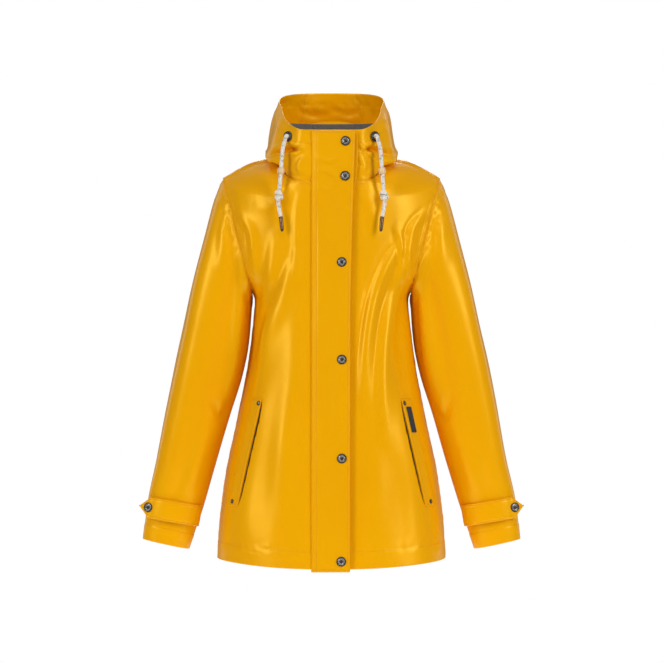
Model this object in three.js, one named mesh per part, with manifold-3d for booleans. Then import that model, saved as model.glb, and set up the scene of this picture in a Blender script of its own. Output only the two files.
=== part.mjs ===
// A hooded foul weather jacket: coated cloth shell, lining, storm flap over a zip, snaps, cuff tabs,
// slanted pockets and hood drawcords. Millimetres. +X is the wearer's left, the front faces -Y, +Z is up.
// Parts are drawn from the hem's centre and the whole is then moved so that the hanger loop is the origin.
import * as THREE from 'three';
import { mergeVertices } from 'three/addons/utils/BufferGeometryUtils.js';
import Module from 'manifold-3d';

const wasm = await Module();
wasm.setup();

// Driving dimensions.
const clearance = 0.4;
const cloth = 2;
const liningCloth = 1.2;
const hemDepth = 150;
const frontTopHeight = 787;
const frontTopDepth = 88;
const flatHalf = 48;
const neckFrontHeight = 695;
const neckBackHeight = 776;
const neckBackDepth = 74;
const neckHalf = 96;
const shoulderHalf = 197;
const shoulderHeight = 702;
const armpitHalf = 142;
const armpitHeight = 490;
const pocketRoom = 20;
const weltThickness = 1.8;
const zipHalfGap = 6.5;
const flapHinge = -35;
const flapTilt = THREE.MathUtils.degToRad(6.5);
const flapThickness = 2.4;
const flapRoom = 3.2;
const snapHeights = [16.9, 199.8, 376.2, 550.8, 705.6, 768.6];
const snapOffsets = [17.6, 18.7, 18.7, 18.7, 24.7, 25.6];
const sleeveTurn = THREE.MathUtils.degToRad(9.6);
const cuffCentre = new THREE.Vector3(287, 0, 100);
const cuffHalfWidth = 50;
const cuffHalfDepth = 34;
const tabHeight = 37;
const cordRadius = 3.5;
const beadRadius = 6.6;
const knotRadius = 8.5;
const panelSeam = 53;
const facingHalf = 92;
const loopHeight = 784;

const shellYellow = clothLook('#f0a804');
const liningGrey = clothLook('#6b6a62');
const tapeYellow = clothLook('#d89208');
const cordWhite = new THREE.MeshStandardMaterial({ color: '#e9e2d2', roughness: 0.9, metalness: 0 });
const paleWood = new THREE.MeshStandardMaterial({ color: '#e6c894', roughness: 0.5, metalness: 0 });
const darkMetal = new THREE.MeshStandardMaterial({ color: '#5a564e', roughness: 0.4, metalness: 0.9 });
const yellowPlastic = new THREE.MeshStandardMaterial({ color: '#d89208', roughness: 0.5, metalness: 0 });
const darkLabel = clothLook('#2b2d33');

function clothLook(color) {
  return new THREE.MeshStandardMaterial({ color, roughness: 0.55, metalness: 0 });
}

// Solids and their joins.
function toSolid(geometry) {
  const bare = geometry.clone();
  bare.deleteAttribute('normal');
  bare.deleteAttribute('uv');
  const merged = mergeVertices(bare, 1e-3);
  const mesh = new wasm.Mesh({
    numProp: 3,
    vertProperties: new Float32Array(merged.attributes.position.array),
    triVerts: new Uint32Array(merged.index.array),
  });
  return new wasm.Manifold(mesh);
}

function toGeometry(solid) {
  const mesh = solid.getMesh();
  const geometry = new THREE.BufferGeometry();
  geometry.setAttribute('position', new THREE.BufferAttribute(mesh.vertProperties, 3));
  geometry.setIndex(new THREE.BufferAttribute(mesh.triVerts, 1));
  geometry.computeVertexNormals();
  return geometry;
}

function named(name, shape, material) {
  const geometry = shape.getMesh ? toGeometry(shape) : shape;
  const mesh = new THREE.Mesh(geometry, material);
  mesh.name = name;
  return mesh;
}

function block(low, high) {
  const size = high.map((value, axis) => value - low[axis]);
  const geometry = new THREE.BoxGeometry(...size);
  return geometry.translate(...low.map((value, axis) => value + size[axis] / 2));
}

// An outline in the XZ plane, as [x, z] points, run through the whole depth between two Y values.
function prism(outline, front, back, holes = []) {
  const shape = new THREE.Shape(outline.map(([x, z]) => new THREE.Vector2(x, z)));
  shape.holes.push(...holes);
  const geometry = new THREE.ExtrudeGeometry(shape, { depth: back - front, bevelEnabled: false, curveSegments: 6 });
  return geometry.rotateX(Math.PI / 2).translate(0, back, 0);
}

function mirrored(geometry) {
  const flipped = geometry.clone().scale(-1, 1, 1);
  const index = flipped.index.array;
  for (let corner = 0; corner < index.length; corner += 3) {
    [index[corner], index[corner + 1]] = [index[corner + 1], index[corner]];
  }
  return flipped;
}

// Rings of points joined into skins. A ring runs anticlockwise seen from its far end.
function ringNormals(rings) {
  return rings.map((ring, row) => ring.map((point, column) => {
    const before = ring[(column + ring.length - 1) % ring.length];
    const after = ring[(column + 1) % ring.length];
    const below = rings[Math.max(row - 1, 0)][column];
    const above = rings[Math.min(row + 1, rings.length - 1)][column];
    const around = new THREE.Vector3().subVectors(after, before);
    const along = new THREE.Vector3().subVectors(above, below);
    return around.cross(along).normalize();
  }));
}

function ringFacing(ring) {
  const facing = new THREE.Vector3();
  ring.forEach((point, column) => {
    facing.add(new THREE.Vector3().crossVectors(point, ring[(column + 1) % ring.length]));
  });
  return facing.normalize();
}

// Moves the rings out along their skin's normals, and lengthens the skin past its first and last ring.
function offsetRings(rings, distanceAt, startReach = 0, endReach = 0) {
  const normals = ringNormals(rings);
  const last = rings.length - 1;
  return rings.map((ring, row) => {
    const past = (row === last ? endReach : 0) - (row === 0 ? startReach : 0);
    const lengthen = ringFacing(ring).multiplyScalar(past);
    return ring.map((point, column) => {
      const distance = typeof distanceAt === 'function' ? distanceAt(point) : distanceAt;
      return point.clone().addScaledVector(normals[row][column], distance).add(lengthen);
    });
  });
}

function ringSolid(rings) {
  const count = rings[0].length;
  const positions = rings.flat().flatMap((point) => [point.x, point.y, point.z]);
  const index = [];
  for (let row = 0; row < rings.length - 1; row += 1) {
    for (let column = 0; column < count; column += 1) {
      const next = (column + 1) % count;
      const here = row * count;
      const above = here + count;
      index.push(here + column, here + next, above + next, here + column, above + next, above + column);
    }
  }
  [0, rings.length - 1].forEach((row) => {
    const centre = new THREE.Vector3();
    rings[row].forEach((point) => centre.addScaledVector(point, 1 / count));
    const hub = positions.length / 3;
    positions.push(centre.x, centre.y, centre.z);
    for (let column = 0; column < count; column += 1) {
      const here = row * count + column;
      const next = row * count + (column + 1) % count;
      index.push(...(row === 0 ? [hub, next, here] : [hub, here, next]));
    }
  });
  return toSolid(indexed(positions, index));
}

function indexed(positions, index) {
  const geometry = new THREE.BufferGeometry();
  geometry.setAttribute('position', new THREE.Float32BufferAttribute(positions, 3));
  geometry.setIndex(index);
  return geometry;
}

// A closed band between an outer and an inner set of rings, open at both ends.
function bandSolid(outer, inner) {
  const count = outer[0].length;
  const rows = outer.length;
  const positions = [...outer, ...inner].flat().flatMap((point) => [point.x, point.y, point.z]);
  const at = (side, row, column) => (side * rows + row) * count + (column % count);
  const index = [];
  const quad = (a, b, c, d) => index.push(a, b, c, a, c, d);
  for (let column = 0; column < count; column += 1) {
    for (let row = 0; row < rows - 1; row += 1) {
      quad(at(0, row, column), at(0, row, column + 1), at(0, row + 1, column + 1), at(0, row + 1, column));
      quad(at(1, row, column), at(1, row + 1, column), at(1, row + 1, column + 1), at(1, row, column + 1));
    }
    quad(at(0, 0, column), at(1, 0, column), at(1, 0, column + 1), at(0, 0, column + 1));
    const end = rows - 1;
    quad(at(0, end, column), at(0, end, column + 1), at(1, end, column + 1), at(1, end, column));
  }
  return toSolid(indexed(positions, index));
}

// The torso's shape.
function frontDepth(height) {
  return hemDepth + (frontTopDepth - hemDepth) * height / frontTopHeight;
}

function neckHeight(y) {
  const neckFront = -frontDepth(neckFrontHeight);
  return neckFrontHeight + (neckBackHeight - neckFrontHeight) * (y - neckFront) / (neckBackDepth - neckFront);
}

// A cross-section with a flat front. Its front and back may lean away from level, as they do near the neck.
function section({ height, half, back, power, frontLean = 0, backLean = 0 }) {
  const sideSteps = 5;
  const backSteps = 6;
  const arc = (share, flat, depth) => {
    const angle = share * Math.PI / 2;
    const x = flat + (half - flat) * Math.cos(angle) ** (2 / power);
    return new THREE.Vector2(x, depth * Math.sin(angle) ** (2 / power));
  };
  const right = [new THREE.Vector2(0, -1), new THREE.Vector2(flatHalf / 2, -1)];
  for (let step = sideSteps; step > 0; step -= 1) {
    right.push(arc(step / sideSteps, flatHalf, -1));
  }
  for (let step = 0; step <= backSteps; step += 1) {
    right.push(arc(step / backSteps, 0, 1));
  }
  const left = right.slice(1, -1).reverse().map((point) => new THREE.Vector2(-point.x, point.y));
  const settle = 5;
  return [...right, ...left].map((point) => {
    const place = new THREE.Vector3(point.x, point.y * back, height + backLean * point.y * back);
    for (let pass = 0; point.y < 0 && pass < settle; pass += 1) {
      place.y = point.y * frontDepth(place.z);
      place.z = height + frontLean * place.y;
    }
    return place;
  });
}

const neckLean = (neckBackHeight - neckFrontHeight) / (neckBackDepth + frontDepth(neckFrontHeight));
const neckStation = {
  height: neckHeight(0), half: neckHalf, back: neckBackDepth, power: 2.1, frontLean: neckLean, backLean: neckLean,
};

const torsoStations = [
  { height: -12, half: 206, back: 140, power: 2.4 },
  { height: 60, half: 204, back: 138, power: 2.4 },
  { height: 160, half: 193, back: 131, power: 2.4 },
  { height: 266, half: 171, back: 122, power: 2.4 },
  { height: 369, half: 151, back: 112, power: 2.3 },
  { height: 440, half: 142, back: 108, power: 2.3 },
  { height: 484, half: 138.5, back: 108, power: 2.2 },
  { height: 520, half: 172, back: 109, power: 2 },
  { height: 570, half: 206, back: 110, power: 1.8 },
  { height: 640, half: 215, back: 108, power: 1.7, frontLean: 0.1, backLean: 0.1 },
  { height: 698, half: 203, back: 102, power: 1.7, frontLean: 0.4, backLean: 0.18 },
  { height: 716, half: 176, back: 96, power: 1.7, frontLean: 0.48, backLean: 0.22 },
  { height: 732, half: 146, back: 89, power: 1.8, frontLean: 0.56, backLean: 0.25 },
  { height: 738, half: 118, back: 82, power: 2, frontLean: 0.53, backLean: 0.36 },
  neckStation,
  { ...neckStation, height: neckStation.height + 12 },
];

function torsoRings() {
  return torsoStations.map(section);
}

// Everything below the curved hem, which is lowest at the centre.
function belowHem() {
  const outline = [[-260, -40], [260, -40]];
  for (let x = 260; x >= -260; x -= 65) {
    outline.push([x, 3.5 + 13 * (x / 206) ** 2]);
  }
  return toSolid(prism(outline, -300, 300));
}

// Everything above the tilted plane of the neck seam, less a lift.
function aboveNeck(lift) {
  const size = 400;
  const geometry = new THREE.BoxGeometry(size, size, size).translate(0, 0, size / 2);
  const slope = Math.atan2(neckBackHeight - neckFrontHeight, neckBackDepth + frontDepth(neckFrontHeight));
  return toSolid(geometry.rotateX(slope).translate(0, 0, neckHeight(0) + lift));
}

// Everything beyond the plane of one armhole, which leans from the shoulder in to the armpit.
function armholeBlock(inner, outer, halfLength) {
  const lean = Math.atan2(shoulderHalf - armpitHalf, shoulderHeight - armpitHeight);
  const geometry = new THREE.BoxGeometry(outer - inner, 600, 2 * halfLength);
  geometry.translate((inner + outer) / 2, 0, 0);
  return geometry.rotateY(lean).translate(shoulderHalf, 0, shoulderHeight);
}

function beyondArmhole(side, gap) {
  const length = Math.hypot(shoulderHalf - armpitHalf, shoulderHeight - armpitHeight) + 5;
  const geometry = armholeBlock(gap, 400 + gap, length);
  return toSolid(side < 0 ? mirrored(geometry) : geometry);
}

function trimTorso(solid, gap) {
  return solid
    .subtract(belowHem())
    .subtract(aboveNeck(-gap))
    .subtract(beyondArmhole(1, -gap))
    .subtract(beyondArmhole(-1, -gap));
}

const bodyRings = torsoRings();
const bodyFaceAt = (distance) => ringSolid(offsetRings(bodyRings, distance));

// Slanted pockets: welt, slit and bag share one set of corners, given for the wearer's left.
const frontSlab = [-220, -20];
const pocket = {
  top: [124, 304],
  bottom: [167, 114],
  weltWidth: 18,
  slitWidth: 9,
  bagInner: 62,
  bagTop: 318,
  bagBottom: 92,
};

function slantedStrip(from, to, overrun = 0) {
  const [topX, topZ] = pocket.top;
  const [bottomX, bottomZ] = pocket.bottom;
  return [
    [topX + from, topZ + overrun],
    [topX + to, topZ + overrun],
    [bottomX + to, bottomZ - overrun],
    [bottomX + from, bottomZ - overrun],
  ];
}

function sided(outline, side) {
  return outline.map(([x, z]) => [x * side, z]);
}

function pocketSlit(side) {
  const outline = sided(slantedStrip(-pocket.slitWidth, 0, -8), side);
  return toSolid(prism(outline, -220, -40));
}

function bagOutline(side, inset) {
  const [topX] = pocket.top;
  const [bottomX] = pocket.bottom;
  return sided([
    [pocket.bagInner + inset, pocket.bagTop - inset],
    [topX + 8 - inset, pocket.bagTop - inset],
    [bottomX + 4 - inset, pocket.bagBottom + inset],
    [pocket.bagInner + inset, pocket.bagBottom + inset],
  ], side);
}

function pocketBag(side) {
  const wall = 1;
  const front = cloth + clearance;
  const back = front + pocketRoom;
  const outer = bodyFaceAt(-front).subtract(bodyFaceAt(-back))
    .intersect(toSolid(prism(bagOutline(side, 0), ...frontSlab)));
  const hollow = bodyFaceAt(-front - wall).subtract(bodyFaceAt(wall - back))
    .intersect(toSolid(prism(bagOutline(side, 1.5), ...frontSlab)));
  const mouth = bodyFaceAt(2).subtract(bodyFaceAt(-front - 2)).intersect(pocketSlit(side));
  return outer.subtract(hollow).subtract(mouth);
}

function pocketWelt(side) {
  const outline = sided(slantedStrip(clearance, pocket.weltWidth), side);
  return bodyFaceAt(clearance + weltThickness).subtract(bodyFaceAt(clearance))
    .intersect(toSolid(prism(outline, ...frontSlab)));
}

// The plain side label is sewn on the wearer's left welt.
function pocketLabel() {
  const label = { width: 8, length: 45, drop: 14, inset: 4, thickness: 0.8 };
  const slope = (pocket.bottom[0] - pocket.top[0]) / (pocket.top[1] - pocket.bottom[1]);
  const high = pocket.top[1] - label.drop;
  const low = high - label.length;
  const edgeHigh = pocket.top[0] + slope * label.drop + label.inset;
  const edgeLow = edgeHigh + slope * label.length;
  const outline = [[edgeHigh, high], [edgeHigh + label.width, high], [edgeLow + label.width, low], [edgeLow, low]];
  const base = clearance + weltThickness + clearance;
  return bodyFaceAt(base + label.thickness).subtract(bodyFaceAt(base))
    .intersect(toSolid(prism(outline, ...frontSlab)));
}

// Shell panels of the torso.
function torsoShell() {
  return trimTorso(bodyFaceAt(0).subtract(bodyFaceAt(-cloth)), clearance / 2);
}

function frontPanel(shell, side) {
  const low = [side > 0 ? zipHalfGap : -300, -300, -60];
  const high = [side > 0 ? 300 : -zipHalfGap, -clearance / 2, 900];
  return shell.intersect(toSolid(block(low, high))).subtract(pocketSlit(side));
}

function backPanel(shell) {
  return shell.intersect(toSolid(block([-300, clearance / 2, -60], [300, 300, 900])));
}

function liningInset(point) {
  const low = cloth + clearance + pocketRoom + 0.6;
  const high = cloth + 1.4;
  const share = THREE.MathUtils.smoothstep(point.z, 370, 486);
  return -(low + (high - low) * share);
}

function bodyLining() {
  const outer = ringSolid(offsetRings(bodyRings, liningInset));
  const inner = ringSolid(offsetRings(bodyRings, (point) => liningInset(point) - liningCloth));
  const zipZone = toSolid(block([-20, -300, -60], [20, -20, 900]));
  return trimTorso(outer.subtract(inner), clearance / 2).subtract(zipZone);
}

// Sleeves: each station runs from its outer edge to its inner edge, with a half depth front to back.
const sleeveStations = [
  { outer: [197, 702], inner: [142, 490], depth: 66, power: 2 },
  { outer: [215, 656], inner: [143.5, 474], depth: 65, power: 2 },
  { outer: [233, 590], inner: [145, 456], depth: 62, power: 2.1 },
  { outer: [251, 518], inner: [147, 430], depth: 60, power: 2.1 },
  { outer: [267, 446], inner: [151, 396], depth: 58, power: 2.2 },
  { outer: [284, 374], inner: [162, 345], depth: 55, power: 2.2 },
  { outer: [298, 302], inner: [184, 275], depth: 49, power: 2.2 },
  { outer: [318, 194], inner: [215, 170], depth: 40, power: 2.3 },
  { outer: [333, 122], inner: [235, 101], depth: cuffHalfDepth, power: 2.3 },
  { outer: [342, 50], inner: [259, 32], depth: 31, power: 2.3 },
];

function sleeveRings() {
  const columns = 16;
  return sleeveStations.map(({ outer, inner, depth, power }) => {
    const centre = new THREE.Vector3((outer[0] + inner[0]) / 2, 0, (outer[1] + inner[1]) / 2);
    const reach = new THREE.Vector3((outer[0] - inner[0]) / 2, 0, (outer[1] - inner[1]) / 2);
    return Array.from({ length: columns }, (_, column) => {
      const angle = column / columns * Math.PI * 2;
      const across = Math.sign(Math.cos(angle)) * Math.abs(Math.cos(angle)) ** (2 / power);
      const deep = Math.sign(Math.sin(angle)) * Math.abs(Math.sin(angle)) ** (2 / power);
      return centre.clone().addScaledVector(reach, across).add(new THREE.Vector3(0, -depth * deep, 0));
    });
  });
}

function sleeve(side, outset, inset, cuffReach) {
  const rings = sleeveRings();
  const overrun = 4;
  const tube = ringSolid(offsetRings(rings, outset, overrun, cuffReach))
    .subtract(ringSolid(offsetRings(rings, inset, overrun, overrun)));
  const trimmed = tube.subtract(toSolid(armholeBlock(-400, clearance / 2, 600)));
  return side > 0 ? trimmed : toSolid(mirrored(toGeometry(trimmed)));
}

// Hood, worn down: around the neck its profile goes from a plain stand at the front, through a low fold
// over the shoulders, to a pouch that hangs behind the neck. Each point is [outward, up] from the neck seam.
const hoodProfiles = {
  front: [[0, 0], [-0.5, 8], [-1.2, 17], [-2.2, 30], [-3.4, 46], [-4.8, 62], [-6, 78], [-7.2, 92]],
  side: [[0, 0], [8, 7], [17, 7], [24, 10], [19, 23], [12, 50], [6, 80], [-2, 101]],
  back: [[0, 0], [6, 30], [18, 32], [30, -20], [46, -84], [66, -40], [64, 20], [54, 79]],
};

function hoodRings() {
  const neck = section(neckStation);
  const columns = neck.map((point) => {
    const plan = new THREE.Vector2(point.x, point.y + 6).normalize();
    const backShare = Math.max(plan.y, 0) ** 1.5;
    const frontShare = THREE.MathUtils.smoothstep(-plan.y, 0.3, 0.74);
    const sideShare = 1 - backShare - frontShare;
    const base = point.clone().setZ(point.z + clearance / 2);
    const flatOutward = Math.abs(point.x) <= flatHalf + 1 && point.y < 0;
    const outward = flatOutward ? new THREE.Vector2(0, -1) : plan;
    return hoodProfiles.front.map((_, step) => {
      const mix = (axis) => hoodProfiles.front[step][axis] * frontShare
        + hoodProfiles.side[step][axis] * sideShare
        + hoodProfiles.back[step][axis] * backShare;
      return base.clone().add(new THREE.Vector3(outward.x * mix(0), outward.y * mix(0), mix(1)));
    });
  });
  return hoodProfiles.front.map((_, step) => columns.map((column) => column[step]));
}

const hoodOuterRings = hoodRings();

function hoodShell() {
  const inner = offsetRings(hoodOuterRings, -cloth);
  const torsoBlank = bodyFaceAt(clearance).subtract(aboveNeck(clearance / 2));
  const zipSlot = toSolid(block([-zipHalfGap, -300, 600], [zipHalfGap, -20, 900]));
  return bandSolid(hoodOuterRings, inner).subtract(torsoBlank).subtract(zipSlot);
}

function hoodPanels() {
  const shell = hoodShell().subtract(eyeletHole(1)).subtract(eyeletHole(-1));
  const middle = toSolid(block([-panelSeam, 20, 500], [panelSeam, 300, 950]));
  const gapBlock = toSolid(block([-panelSeam - clearance, 20 - clearance, 500], [panelSeam + clearance, 300, 950]));
  const rest = shell.subtract(gapBlock);
  const half = (side) => rest.intersect(toSolid(
    block([side > 0 ? clearance / 2 : -300, -300, 500], [side > 0 ? 300 : -clearance / 2, 300, 950])));
  return [
    named('hood_right_panel', half(-1), shellYellow),
    named('hood_left_panel', half(1), shellYellow),
    named('hood_centre_panel', shell.intersect(middle), shellYellow),
  ];
}

// Grey strip inside the back of the neck, with the loop that the jacket hangs by.
function backNeckFacing() {
  const outer = offsetRings(hoodOuterRings, -cloth - clearance).slice(0, 2);
  const inner = offsetRings(hoodOuterRings, -cloth - clearance - liningCloth).slice(0, 2);
  return bandSolid(outer, inner).intersect(toSolid(block([-facingHalf, 24, 500], [facingHalf, 300, 950])));
}

const loop = { half: 30, standOff: 9, strap: 2, height: 7, gap: 0.6 };

// Where the loop's sewn ends meet the facing.
function loopBack() {
  const face = surfaceSpot(toGeometry(backNeckFacing()), loop.half, loopHeight, 0);
  return face.point.y - loop.gap;
}

function hangerLoop() {
  const back = loopBack();
  const outer = block([-loop.half, back - loop.standOff - loop.strap, 0], [loop.half, back, loop.height]);
  const reach = loop.half - loop.strap * 3;
  const inner = block([-reach, back - loop.standOff, -1], [reach, back + 1, loop.height + 1]);
  return toSolid(outer).subtract(toSolid(inner)).translate([0, 0, loopHeight]);
}

// Eyelets sit on the front sides of the hood, turned outwards.
const eyeletSpot = { x: 76.6, z: 776 };
const eyeletRing = { hole: 4.7, outer: 9.5, height: 1.6 };

function surfaceSpot(geometry, x, z, from = -400) {
  const mesh = new THREE.Mesh(geometry, new THREE.MeshBasicMaterial({ side: THREE.DoubleSide }));
  const ray = new THREE.Raycaster(new THREE.Vector3(x, from, z), new THREE.Vector3(0, 1, 0));
  const hit = ray.intersectObject(mesh)[0];
  return { point: hit.point, normal: hit.face.normal.clone() };
}

function eyeletPlace(side) {
  const skin = bandSolid(hoodOuterRings, offsetRings(hoodOuterRings, -cloth));
  const { point, normal } = surfaceSpot(toGeometry(skin), -eyeletSpot.x, eyeletSpot.z);
  return {
    point: new THREE.Vector3(-side * point.x, point.y, point.z),
    normal: new THREE.Vector3(-side * normal.x, normal.y, normal.z),
  };
}

function placedAlong(geometry, place, lift) {
  const turn = new THREE.Quaternion().setFromUnitVectors(new THREE.Vector3(0, 1, 0), place.normal);
  const spot = place.point.clone().addScaledVector(place.normal, lift);
  return geometry.applyQuaternion(turn).translate(spot.x, spot.y, spot.z);
}

function eyeletHole(side) {
  const drill = new THREE.CylinderGeometry(eyeletRing.hole, eyeletRing.hole, 14, 10);
  return toSolid(placedAlong(drill, eyeletPlace(side), 0));
}

function turned(points, segments) {
  return new THREE.LatheGeometry(points.map(([radius, height]) => new THREE.Vector2(radius, height)), segments);
}

function eyelet(side) {
  const { hole, outer, height } = eyeletRing;
  const profile = [[hole, 0], [outer, 0], [outer - 1.2, height], [hole + 0.6, height], [hole, 0]];
  return placedAlong(turned(profile, 16), eyeletPlace(side), clearance);
}

// Front closure, in a frame that leans with the straight centre front: x across, y inwards, z up the front.
function frontFrame(...pieces) {
  const frame = new THREE.Group();
  frame.position.set(0, -hemDepth, 0);
  frame.rotation.x = -Math.atan2(hemDepth - frontTopDepth, frontTopHeight);
  frame.add(...pieces);
  return frame;
}

const zip = { bottom: 18, top: 768, tapeEdge: 16, toothHalf: 3, toothInner: 0.9, sliderRest: 750 };

function zipPieces() {
  const pieces = [];
  [['right', -1], ['left', 1]].forEach(([word, side]) => {
    const ordered = (a, b) => [Math.min(side * a, side * b), Math.max(side * a, side * b)];
    const [tapeLow, tapeHigh] = ordered(zip.toothHalf + 0.3, zip.tapeEdge);
    const [toothLow, toothHigh] = ordered(zip.toothInner, zip.toothHalf);
    pieces.push(named(`${word}_zip_tape`, block([tapeLow, 2.5, 8], [tapeHigh, 3.3, zip.top]), tapeYellow));
    pieces.push(named(`${word}_zip_teeth`, block([toothLow, 1.7, zip.bottom], [toothHigh, 4.1, zip.top]), yellowPlastic));
  });
  pieces.push(named('zip_bottom_box', block([-3, 1.2, 8], [3, 4.6, zip.bottom - 1]), darkMetal));
  pieces.push(zipSlider());
  pieces.push(named('zip_pull', zipPull(), darkMetal));
  return pieces;
}

function zipSlider() {
  const half = 5.4;
  const length = 14;
  const whole = toSolid(block([-half, -0.2, 0], [half, 5.8, length]));
  const channel = toSolid(block([-3.4, 1.3, -1], [-0.5, 4.5, length + 1]))
    .add(toSolid(block([0.5, 1.3, -1], [3.4, 4.5, length + 1])));
  const slots = toSolid(block([-half - 1, 1.9, -1], [-3, 3.9, length + 1]))
    .add(toSolid(block([3, 1.9, -1], [half + 1, 3.9, length + 1])));
  return named('zip_slider', whole.subtract(channel).subtract(slots).translate([0, 0, zip.sliderRest]), darkMetal);
}

const pull = { half: 2.4, length: 22, thickness: 0.9, front: -1.5 };

function zipPull() {
  const top = zip.sliderRest + 6;
  return block([-pull.half, pull.front, top - pull.length], [pull.half, pull.front + pull.thickness, top]);
}

// Flap frame: x from the stitched edge towards the free edge, y = 0 at the flap's outer face.
function flapFrame(...pieces) {
  const frame = new THREE.Group();
  frame.position.set(flapHinge, -0.5, 0);
  frame.rotation.z = -flapTilt;
  frame.add(...pieces.map((piece) => {
    piece.position.y -= flapThickness;
    return piece;
  }));
  return frame;
}

function acrossFlap(x) {
  return (x - flapHinge) / Math.cos(flapTilt);
}

const snap = { cap: 8.6, capHeight: 2.6, shank: 2.6, socket: 5.6, recess: 2.5, post: 2, flange: 5 };

function snapCap(name, through) {
  const socketTop = -through - 0.3;
  const profile = [
    [0, socketTop - 0.5], [snap.recess, socketTop - 0.5], [snap.recess, socketTop - 1.8],
    [snap.socket, socketTop - 1.8], [snap.socket, socketTop], [snap.shank, socketTop], [snap.shank, 0.3],
    [snap.cap, 0.3], [snap.cap, 1.2], [snap.cap - 2.4, snap.capHeight], [0, snap.capHeight + 0.3],
  ];
  return named(name, turned(profile, 10).rotateX(Math.PI), darkMetal);
}

function snapStud(name, through, room) {
  const base = -through - room + 0.3;
  const top = -through - 1.2;
  const profile = [
    [0, base], [snap.flange, base], [snap.flange, base + 0.4], [snap.post, base + 0.4], [snap.post, top], [0, top],
  ];
  return named(name, turned(profile, 10).rotateX(Math.PI), darkMetal);
}

function flapOutline() {
  return [
    [0, -1], [acrossFlap(32), -1], [acrossFlap(33), 480], [acrossFlap(36), 603],
    [acrossFlap(42), 787], [0, 787],
  ];
}

function stormFlap() {
  const holes = snapHeights.map((height, index) => {
    const hole = new THREE.Path();
    hole.absarc(acrossFlap(snapOffsets[index]), height, snap.shank + clearance, 0, Math.PI * 2, true);
    return hole;
  });
  return named('storm_flap', prism(flapOutline(), 0, flapThickness, holes), shellYellow);
}

function underlap() {
  const front = flapThickness + flapRoom;
  const outline = [[acrossFlap(8.5), 6], [acrossFlap(46), 6], [acrossFlap(46), 780], [acrossFlap(8.5), 780]];
  return named('underlap_placket', prism(outline, front, front + 1.4), shellYellow);
}

function frontSnaps() {
  return snapHeights.flatMap((height, index) => {
    const cap = snapCap(`snap_cap_${index + 1}`, flapThickness);
    const stud = snapStud(`snap_stud_${index + 1}`, flapThickness, flapRoom);
    [cap, stud].forEach((piece) => piece.position.set(acrossFlap(snapOffsets[index]), 0, height));
    return [cap, stud];
  });
}

// Cuff tabs, in a frame on the sleeve's end: x towards the outer edge, z up the sleeve.
function cuffFrame(side, ...pieces) {
  const frame = new THREE.Group();
  frame.position.set(side * cuffCentre.x, 0, cuffCentre.z);
  frame.rotation.y = -side * sleeveTurn;
  frame.add(...pieces);
  return frame;
}

const tab = { thickness: 2.2, standOff: 3.6, tip: 60, point: 16 };

// The tab's inner face in plan: it follows the sleeve's front, then runs straight off to its pointed tip.
function tabPath() {
  const power = 2.3;
  const angles = [0.86, 0.76, 0.64, 0.52, 0.42, 0.33, 0.24];
  const points = angles.map((share) => {
    const angle = share * Math.PI;
    const x = cuffHalfWidth * Math.sign(Math.cos(angle)) * Math.abs(Math.cos(angle)) ** (2 / power);
    const y = -cuffHalfDepth * Math.sin(angle) ** (2 / power);
    const out = new THREE.Vector2(x / cuffHalfWidth ** 2, y / cuffHalfDepth ** 2).normalize();
    return new THREE.Vector2(x, y).addScaledVector(out, tab.standOff);
  });
  const last = points[points.length - 1];
  const slope = new THREE.Vector2(0.9, 0.44).normalize();
  points.push(last.clone().addScaledVector(slope, (tab.tip - last.x) / slope.x));
  return points;
}

function cuffTab(name, side) {
  const inside = tabPath();
  const outside = inside.map((point, index) => {
    const before = inside[Math.max(index - 1, 0)];
    const after = inside[Math.min(index + 1, inside.length - 1)];
    const along = new THREE.Vector2().subVectors(after, before).normalize();
    return point.clone().add(new THREE.Vector2(along.y, -along.x).multiplyScalar(tab.thickness));
  });
  const shape = new THREE.Shape([...inside, ...outside.reverse()]);
  const ribbon = new THREE.ExtrudeGeometry(shape, { depth: tabHeight, bevelEnabled: false });
  ribbon.translate(0, 0, -tabHeight / 2);
  const high = tabHeight / 2 + 1;
  const pointed = prism([
    [-70, -high], [tab.tip - tab.point, -high], [tab.tip + 0.5, 0], [tab.tip - tab.point, high], [-70, high],
  ], -80, 20);
  const spot = tabSnapPlace();
  const drill = new THREE.CylinderGeometry(snap.shank + clearance, snap.shank + clearance, 20, 12);
  const hole = toSolid(placedAlong(drill, spot, 0));
  const solid = toSolid(ribbon).intersect(toSolid(pointed)).subtract(hole);
  return named(name, side > 0 ? solid : toSolid(mirrored(toGeometry(solid))), shellYellow);
}

// The snap's place on the tab's straight end, at its outer face.
function tabSnapPlace() {
  const points = tabPath();
  const [from, to] = points.slice(-2);
  const along = new THREE.Vector2().subVectors(to, from).normalize();
  const middle = from.clone().addScaledVector(along, 12);
  const normal = new THREE.Vector3(along.y, -along.x, 0);
  const point = new THREE.Vector3(middle.x, middle.y, 0).addScaledVector(normal, tab.thickness);
  return { point, normal };
}

function cuffSnap(word, side) {
  const place = tabSnapPlace();
  const turn = Math.atan2(place.normal.x, -place.normal.y);
  return [
    snapCap(`${word}_cuff_snap_cap`, tab.thickness),
    snapStud(`${word}_cuff_snap_stud`, tab.thickness, 5),
  ].map((piece) => {
    piece.position.set(side * place.point.x, place.point.y, 0);
    piece.rotation.z = side * turn;
    return piece;
  });
}

// Drawcords: eyelet, straight stretch with a sliding bead, knot, and a metal tip. Wearer's left, mirrored.
const cordRoute = [
  [84.5, -86, 765], [87.5, -91, 752], [89.5, -94.2, 727], [91.5, -97.4, 702],
  [93.5, -100.6, 677], [95, -103, 658.3], [93.5, -105.2, 645], [90.5, -107.4, 631],
];
const cordEndAim = [88, -110.5, 604];

function sidePoint(side, [x, y, z]) {
  return new THREE.Vector3(x * side, y, z);
}

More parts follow.
